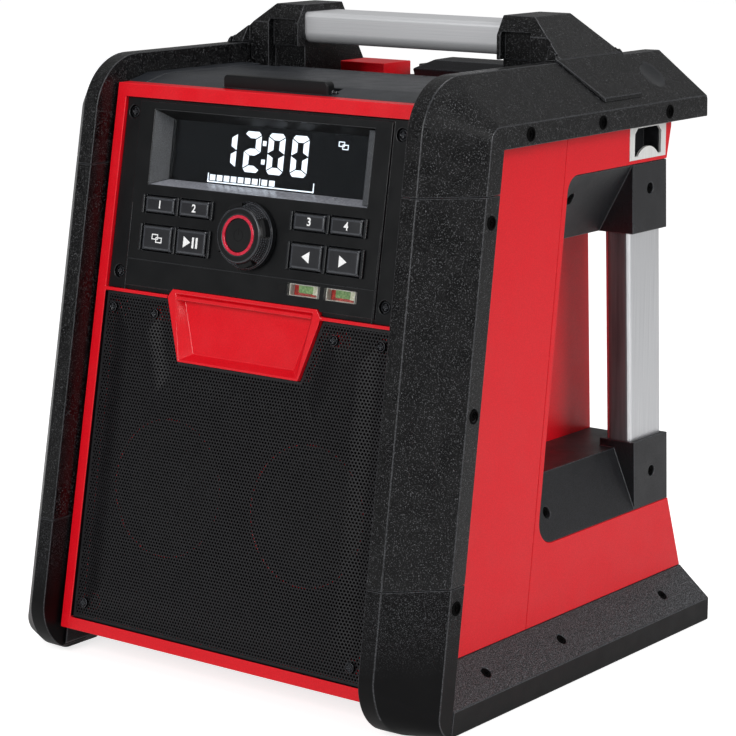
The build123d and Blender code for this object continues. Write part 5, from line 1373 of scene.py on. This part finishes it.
@dataclass
class Knob(Assembly):
    """Volume knob with its red ring and the power button in it.

    Attributes:
        height: Middle of the knob, up the plane.
        foot: Height and radius of the shoulder's lower edge.
        shoulder: Height and radius of its upper edge.
        edge: Width of the rounded rim.
        inner_edge: Width of the rounded edges of the ring and the power button.
        teeth: Knurls round the whole shoulder.
        rows: Knurls up the shoulder.
        row_pitch: Distance between the rows.
        knurl: Width, length, height and rounded edge of a knurl.
        patch: Degrees of a quarter turn that stay plain.
        pad: Inner and outer radius of a grip pad, and the degrees of a quarter turn where it starts and ends.
        pad_gaps: How far a pad reaches below the foot and stays below the shoulder.
        mark: Inner and outer radius of the power mark, and the degrees left open at each side of its bar.
        mark_bar: Middle over that of the knob, width and length of the bar.
        symbol: Height of the power mark over the front plane.
    """

    height: float = 303.8
    foot: Pair = (6.3, 21.2)
    shoulder: Pair = (13.8, 17.8)
    edge: float = 0.8
    inner_edge: float = 0.3
    teeth: int = 84
    rows: int = 4
    row_pitch: float = 1.45
    knurl: Quad = (0.9, 0.95, 1.0, 0.2)
    patch: float = 38.0
    pad: Quad = (17.0, 21.3, 3.0, 35.0)
    pad_gaps: Pair = (0.2, 2.4)
    mark: Triple = (3.4, 4.1, 25.0)
    mark_bar: Triple = (2.6, 0.7, 4.2)
    symbol: float = 13.38

    def build(self) -> None:
        """Dress the knob and add knurls, grips and the power mark."""
        self.kit.dress(Finish.KNOB, ("volume_knob",), Finish.KNOB_EDGE_PAINTED_HIGHLIGHT, self.edge)
        self.kit.dress(Finish.KNOB, ("power_button",), None, self.inner_edge)
        self.kit.dress(Finish.RING, ("knob_ring",), None, self.inner_edge)
        self.kit.dress(Finish.GREY, ("rotary_encoder",))
        self.add_knurl()
        inner, outer, start, end = self.pad
        pads = []
        for turn in (0, 90, 180, 270):
            pads += sector(inner, outer, turn + start, turn + end, self.height)
        low, high = self.foot[0] - self.pad_gaps[0], self.shoulder[0] - self.pad_gaps[1]
        self.kit.raise_shapes(Relief("knob_grips", pads, low, high, Finish.KNOB, "knob"))
        inner, outer, opened = self.mark
        up, width, length = self.mark_bar
        mark = sector(inner, outer, 90 + opened, 450 - opened, self.height)
        mark.append(oblong(0, self.height + up, width, length))
        self.kit.raise_shapes(Relief("power_symbol", mark, self.symbol, self.symbol + 0.08, Finish.ENGRAVED_AND_PAINTED_SHADE,
                                     "power_button"))

    def add_knurl(self) -> None:
        """Rows of small knurls, wrapped round the shoulder in four patches."""
        (low_z, low_r), (high_z, high_r) = self.foot, self.shoulder
        slope = (high_r - low_r) / (high_z - low_z)
        tree = Repeat("knob_knurl", {
            "Teeth": self.teeth, "Rows": self.rows, "Step": 360 / self.teeth, "Row Pitch": self.row_pitch,
            "Plain": self.patch, "Slope": slope, "Middle": (low_z + high_z) / 2 - 0.7,
            "Root Radius": low_r - slope * low_z - 0.15})
        across = tree.add(MATH, {0: tree.size["Teeth"], 1: 1.0}, operation="SUBTRACT")
        up = tree.add(MATH, {0: tree.size["Rows"], 1: 1.0}, operation="SUBTRACT")
        grid = tree.add("GeometryNodeMeshGrid", {"Size X": across, "Size Y": up, "Vertices X": tree.size["Teeth"],
                                                 "Vertices Y": tree.size["Rows"]})
        place = tree.add("ShaderNodeSeparateXYZ", {0: tree.add("GeometryNodeInputPosition")}).outputs
        degrees = tree.add(MATH, {0: place[0], 1: tree.size["Step"]}, operation="MULTIPLY")
        quarter = tree.add(MATH, {0: degrees, 1: 90.0}, operation="FLOORED_MODULO")
        plain = tree.add("FunctionNodeCompare", {0: quarter, 1: tree.size["Plain"]}, operation="LESS_THAN")
        points = tree.add("GeometryNodeDeleteGeometry", {"Geometry": grid, "Selection": plain})
        turn = tree.add(MATH, {0: degrees}, operation="RADIANS")
        height = tree.add(MATH, {0: place[1], 1: tree.size["Row Pitch"], 2: tree.size["Middle"]},
                          operation="MULTIPLY_ADD")
        radius = tree.add(MATH, {0: height, 1: tree.size["Slope"], 2: tree.size["Root Radius"]},
                          operation="MULTIPLY_ADD")
        x = tree.add(MATH, {0: tree.add(MATH, {0: turn}, operation="COSINE"), 1: radius}, operation="MULTIPLY")
        y = tree.add(MATH, {0: tree.add(MATH, {0: turn}, operation="SINE"), 1: radius}, operation="MULTIPLY")
        spot = tree.add("ShaderNodeCombineXYZ", {0: x, 1: y, 2: height})
        wrapped = tree.add("GeometryNodeSetPosition", {"Geometry": points, "Position": spot})
        around = tree.add("ShaderNodeSeparateXYZ", {0: tree.add("GeometryNodeInputPosition")}).outputs
        facing = tree.add(MATH, {0: around[1], 1: around[0]}, operation="ARCTAN2")
        knurls = tree.realize(wrapped, tree.add("ShaderNodeCombineXYZ", {2: facing}))
        centre = FRONT.matrix() @ Matrix.Translation((0, self.height, 0))
        # the knurls take the paler rim finish: a painted highlight
        tree.bake(self.kit, knurls, bar_unit(*self.knurl), Finish.KNOB_EDGE_PAINTED_HIGHLIGHT, centre, "knob")


@dataclass
class Grille(Assembly):
    """Perforated, crowned sheet over the speakers, in two halves with a plain margin.

    Attributes:
        face: Face of the sheet, below the front plane.
        span: Lowest and highest point, up the plane.
        half: Half width where the plane meets the floor.
        taper: Loss of half width for each millimetre up.
        shield: Half width and height of the notch's lower corners.
        flare: Growth of the notch's half width for each millimetre up.
        pitch: Distance between holes.
        row: Distance between rows.
        hole: Radius of a hole.
        depth: Depth of a hole's wall.
        crown: Height of the sheet's crown.
        ramp: Distances from the edge at which the crown starts and is full.
        columns: Holes across one half.
        rows: Rows of holes.
        margin: Width of the plain margin.
        closed: Distance from the edge within which there is no hole.
        rim: Back and face of the margin over the sheet's face.
    """

    face: float = -0.8
    span: Pair = (29.4, 255.6)
    half: float = 126.1
    taper: float = 0.01721
    shield: Pair = (51.8, 214.7)
    flare: float = 0.3318
    pitch: float = 2.42
    row: float = 2.10
    hole: float = 0.92
    depth: float = 1.0
    crown: float = 2.4
    ramp: Pair = (8.0, 26.0)
    columns: int = 52
    rows: int = 109
    margin: float = 1.9
    closed: float = 1.1
    rim: Pair = (-1.0, 0.04)

    def build(self) -> None:
        """Make the sheet in place of the plain one, and dress the speakers."""
        self.kit.dress(Finish.SHEET, ("speaker_baskets",))
        self.kit.dress(Finish.CONE, ("speaker_cone_left", "speaker_cone_right"))
        self.kit.dress(Finish.MAGNET, ("speaker_magnets",))
        for piece in (self.perforate("left", -1), self.perforate("right", 1), self.add_margin()):
            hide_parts("speaker_grille")

    def edge_distance(self, tree: Repeat) -> bpy.types.Node:
        """Measure the distance from the nearest edge of the sheet, as a field.

        Args:
            tree: Tree that gets the nodes.

        Returns:
            The node that gives the distance.
        """
        middle = sum(self.span) / 2
        place = tree.add("ShaderNodeSeparateXYZ", {0: tree.add("GeometryNodeInputPosition")}).outputs
        far = tree.add(MATH, {0: place[0]}, operation="ABSOLUTE")
        half = tree.add(MATH, {0: place[1], 1: -self.taper, 2: self.half - self.taper * middle},
                        operation="MULTIPLY_ADD")
        side = tree.add(MATH, {0: half, 1: far}, operation="SUBTRACT")
        tall = tree.add(MATH, {0: place[1]}, operation="ABSOLUTE")
        ends = tree.add(MATH, {0: (self.span[1] - self.span[0]) / 2, 1: tall}, operation="SUBTRACT")
        notch = self.shield[0] - (self.shield[1] - middle) * self.flare
        wide = tree.add(MATH, {0: place[1], 1: self.flare, 2: notch}, operation="MULTIPLY_ADD")
        beside = tree.add(MATH, {0: far, 1: wide}, operation="SUBTRACT")
        below = tree.add(MATH, {0: self.shield[1] - middle, 1: place[1]}, operation="SUBTRACT")
        shield = tree.add(MATH, {0: beside, 1: below}, operation="MAXIMUM")
        outer = tree.add(MATH, {0: side, 1: ends}, operation="MINIMUM")
        return tree.add(MATH, {0: outer, 1: shield}, operation="MINIMUM")

    def perforate(self, name: str, side: int) -> bpy.types.Object:
        """Make one half of the perforated sheet.

        Args:
            name: Left or right.
            side: -1 for the left half, 1 for the right.

        Returns:
            The new object.
        """
        tree = Repeat(f"grille_mesh_{name}", {
            "Columns": self.columns, "Rows": self.rows, "Pitch": self.pitch, "Row Pitch": self.row,
            "Width": (self.columns - 1) * self.pitch, "Height": (self.rows - 1) * self.row,
            "Middle": side * self.columns * self.pitch / 2, "Crown": self.crown})
        size = tree.size
        grid = tree.add("GeometryNodeMeshGrid", {"Size X": size["Width"], "Size Y": size["Height"],
                                                 "Vertices X": size["Columns"], "Vertices Y": size["Rows"]})
        place = tree.add("ShaderNodeSeparateXYZ", {0: tree.add("GeometryNodeInputPosition")}).outputs
        count = tree.add(MATH, {0: place[1], 1: size["Row Pitch"]}, operation="DIVIDE")
        odd = tree.add(MATH, {0: tree.add(MATH, {0: count}, operation="ROUND"), 1: 2.0}, operation="FLOORED_MODULO")
        half = tree.add(MATH, {0: size["Pitch"], 1: 0.5}, operation="MULTIPLY")
        shift = tree.add(MATH, {0: odd, 1: half, 2: size["Middle"]}, operation="MULTIPLY_ADD")
        offset = tree.add("ShaderNodeCombineXYZ", {0: shift})
        staggered = tree.add("GeometryNodeSetPosition", {"Geometry": grid, "Offset": offset})
        outside = tree.add("FunctionNodeCompare", {0: self.edge_distance(tree), 1: self.closed},
                           operation="LESS_THAN")
        inside = tree.add("GeometryNodeDeleteGeometry", {"Geometry": staggered, "Selection": outside})
        tiles = tree.realize(inside)
        rise = {"Value": self.edge_distance(tree), "From Min": self.ramp[0], "From Max": self.ramp[1],
                "To Max": size["Crown"]}
        crown = tree.add("ShaderNodeMapRange", rise, interpolation_type="SMOOTHSTEP")
        lift = tree.add("ShaderNodeCombineXYZ", {2: crown})
        bowed = tree.add("GeometryNodeSetPosition", {"Geometry": tiles, "Offset": lift})
        frame = FRONT.matrix() @ Matrix.Translation((0, sum(self.span) / 2, self.face))
        unit = tile_unit(self.pitch, self.row, self.hole, self.depth)
        return tree.bake(self.kit, bowed, unit, Finish.SHEET, frame)

    def add_margin(self) -> bpy.types.Object:
        """Make the plain rim of the perforated sheet.

        Returns:
            The new object.
        """
        low, high = self.span
        wide, narrow = (self.half - self.taper * y for y in (low, high))
        mouth = self.shield[0] + (high - self.shield[1]) * self.flare
        right = [(wide, low), (narrow, high), (mouth, high), self.shield]
        outer = right + [(-x, y) for x, y in reversed(right)]
        inner = inset(outer, self.margin)
        count = len(outer)
        strips = [[outer[i], outer[(i + 1) % count], inner[(i + 1) % count], inner[i]] for i in range(count)]
        back, face = (self.face + level for level in self.rim)
        return self.kit.raise_shapes(Relief("grille_margin", strips, back, face, Finish.SHEET))


@dataclass
class BatteryDoor(Assembly):
    """Rear battery door with its latch and ribs.

    Attributes:
        ribs: Number of ribs.
        first: Middle of the first rib, across.
        pitch: Distance between ribs.
        middle: Middle of the ribs, up the rear plane.
        rib: Width, length, height and rounded edge of a rib.
        edge: Width of the rounded edges of the door and its latch.
    """

    ribs: int = 7
    first: float = -48.0
    pitch: float = 16.0
    middle: float = 232.0
    rib: Quad = (5.0, 210.0, 1.8, 0.8)
    edge: float = 0.6

    def build(self) -> None:
        """Dress the door and add its ribs."""
        self.kit.dress(Finish.NYLON, ("battery_door", "door_latch"), Finish.NYLON_EDGE_PAINTED_HIGHLIGHT, self.edge)
        self.kit.dress(Finish.ZINC, ("door_hinge_pin",))
        row = Row("door_ribs", self.ribs, (self.first, self.middle, 0.0), (self.pitch, 0.0, 0.0))
        row.bake(self.kit, row.units, bar_unit(*self.rib), Finish.NYLON, BACK.matrix(), "battery_door")


@dataclass
class Works(Assembly):
    """Screws, and the parts inside.

    Attributes:
        screw_edge: Width of the rounded edges of the screws in sight.
    """

    screw_edge: float = 0.25

    def build(self) -> None:
        """Dress them."""
        # the screws' rims take the paler key-rim finish: a painted highlight
        self.kit.dress(Finish.BLACK_STEEL, ("panel_screws", "grille_screws"), Finish.KEY_EDGE_PAINTED_HIGHLIGHT, self.screw_edge)
        # sunk screws are painted near-black: painted shade of their holes
        self.kit.dress(Finish.STEEL_PAINTED_SHADE, ("bumper_screws", "bracket_screws"))
        self.kit.dress(Finish.BOARD, ("main_board", "keypad_board"))
        self.kit.dress(Finish.GREY, ("power_supply", "mains_inlet", "battery_terminal_block", "usb_port"))


# ------------------------------------------------------------------ studio
@dataclass(frozen=True)
class Lamp:
    """Soft box.

    Attributes:
        name: Light name.
        place: Where it stands, in metres.
        aim: Where it points.
        size: Width and height.
        power: Power in watts.
    """

    name: str
    place: Triple
    aim: Triple
    size: Pair
    power: float

    def hang(self) -> None:
        """Put the lamp in its place."""
        data = bpy.data.lights.new(self.name, "AREA")
        data.shape = "RECTANGLE"
        data.size, data.size_y = self.size
        data.energy = self.power
        lamp = link(self.name, data)
        lamp.location = self.place
        lamp.rotation_euler = (Vector(self.aim) - Vector(self.place)).to_track_quat("-Z", "Y").to_euler()


@dataclass
class Studio:
    """Pale floor, soft lamps and the camera.

    Attributes:
        lamps: The soft boxes.
        camera_place: Where the camera stands, in metres.
        camera_turn: Azimuth and downward tilt in degrees.
        camera_lens: Focal length.
        fill: Light of the room on dull surfaces.
        dim: What gloss mirrors of the room in front of the radio.
        bright: What it mirrors of the room above the radio.
        bright_side: Direction of the bright side of the room.
        bright_band: How far a ray goes that way where the light starts to rise and where it is full.
        floor_grey: Hex colour of the floor's paint.
        floor_lift: What is added to the floor for the rays that look straight at it, and for gloss.
        floor_half: Half width of the floor, in metres.
    """

    lamps: tuple[Lamp, ...] = (
        Lamp("key", (2.3, -0.2, 1.15), (0, 0, 0.35), (1.2, 1.0), 33),
        Lamp("top", (0.1, 0.6, 2.4), (0, 0, 0.3), (0.9, 0.7), 14),
        Lamp("front", (-0.1, -2.5, 1.4), (0, 0, 0.2), (1.4, 1.2), 44),
    )
    camera_place: Triple = (1.0778, -1.3930, 0.5603)
    camera_turn: Pair = (37.55, 11.79)
    camera_lens: float = 126.6
    fill: float = 0.42
    dim: float = 0.18
    bright: float = 0.40
    bright_side: Triple = (0.30, 0.05, 0.95)
    bright_band: Pair = (-0.10, 0.85)
    floor_grey: str = "cccccc"
    floor_lift: Pair = (0.76, 0.12)
    floor_half: float = 6.0

    def build(self) -> None:
        """Set up the studio."""
        bpy.context.scene.view_settings.view_transform = "Standard"
        self.add_floor()
        self.add_room()
        for lamp in self.lamps:
            lamp.hang()
        self.add_camera()

    def add_floor(self) -> None:
        """White floor that keeps the radio's shadow."""
        mesh = bpy.data.meshes.new("studio_floor")
        half = self.floor_half
        corners = [(-half, -half, 0), (half, -half, 0), (half, half, 0), (-half, half, 0)]
        mesh.from_pydata(corners, [], [(0, 1, 2, 3)])
        s = Surface("Studio floor, matt paint")
        path = s.add("ShaderNodeLightPath").outputs
        looks = s.add(MATH, {0: path["Is Camera Ray"], 1: path["Is Transmission Ray"]}, operation="MAXIMUM")
        straight, mirrored = self.floor_lift
        gloss = s.add(MATH, {0: path["Is Glossy Ray"], 1: mirrored}, operation="MULTIPLY")
        lift = s.add(MATH, {0: looks, 1: straight, 2: gloss}, operation="MULTIPLY_ADD")
        mesh.materials.append(s.finish(Base_Color=linear(self.floor_grey), Roughness=0.7,
                                       Emission_Color=linear("ffffff"), Emission_Strength=lift))
        link("studio_floor", mesh)

    def add_room(self) -> None:
        """White room for the rays that look at it; gloss finds it dimmer in front of the radio."""
        world = bpy.data.worlds.new("Studio")
        world.use_nodes = True
        world.cycles.sampling_method = "NONE"
        g = Graph(world.node_tree)
        path = g.add("ShaderNodeLightPath").outputs
        towards = g.add("ShaderNodeTexCoord").outputs["Generated"]
        side = g.add("ShaderNodeVectorMath", {0: towards, 1: self.bright_side}, operation="DOT_PRODUCT")
        low, high = self.bright_band
        band = {"Value": side.outputs["Value"], "From Min": low, "From Max": high, "To Min": self.dim,
                "To Max": self.bright}
        mirrored = g.add("ShaderNodeMapRange", band, interpolation_type="SMOOTHSTEP")
        glossy = g.add("ShaderNodeMix", {0: path["Is Glossy Ray"], 2: self.fill, 3: mirrored})
        seen = g.add(MATH, {0: path["Is Camera Ray"], 1: path["Is Transmission Ray"]}, operation="MAXIMUM")
        strength = g.add("ShaderNodeMix", {0: seen, 2: glossy, 3: 1.0})
        room = g.tree.nodes["Background"]
        g.feed(room.inputs["Color"], (1.0, 1.0, 1.0, 1.0))
        g.feed(room.inputs["Strength"], strength)
        bpy.context.scene.world = world

    def add_camera(self) -> None:
        """Camera at the viewing angle."""
        data = bpy.data.cameras.new("camera")
        data.lens = self.camera_lens
        data.sensor_width = 36.0
        data.clip_start, data.clip_end = 0.05, 50.0
        camera = link("camera", data)
        camera.location = self.camera_place
        azimuth, tilt = self.camera_turn
        camera.rotation_euler = (math.radians(90 - tilt), 0, math.radians(azimuth))
        bpy.context.scene.camera = camera


def main() -> None:
    """Build the radio and its studio."""
    logging.basicConfig(level=logging.INFO)
    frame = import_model()
    for name in ("Cube", "Light", "Camera"):
        if name in bpy.data.objects:
            bpy.data.objects.remove(bpy.data.objects[name])
    kit = Kit(frame["nodes"], {finish: finish.value.make() for finish in Finish})
    for assembly in (Housing, Bumpers, Handles, Deck, ControlPanel, Display, Keys, Knob, Grille, BatteryDoor, Works):
        before = len(kit.made)
        assembly(kit).build()
        for name in kit.made[before:]:
            LOG.info("%s: %s", assembly.__name__, name)
    Studio().build()
    bpy.context.view_layer.update()


if __name__ == "__main__":
    main()
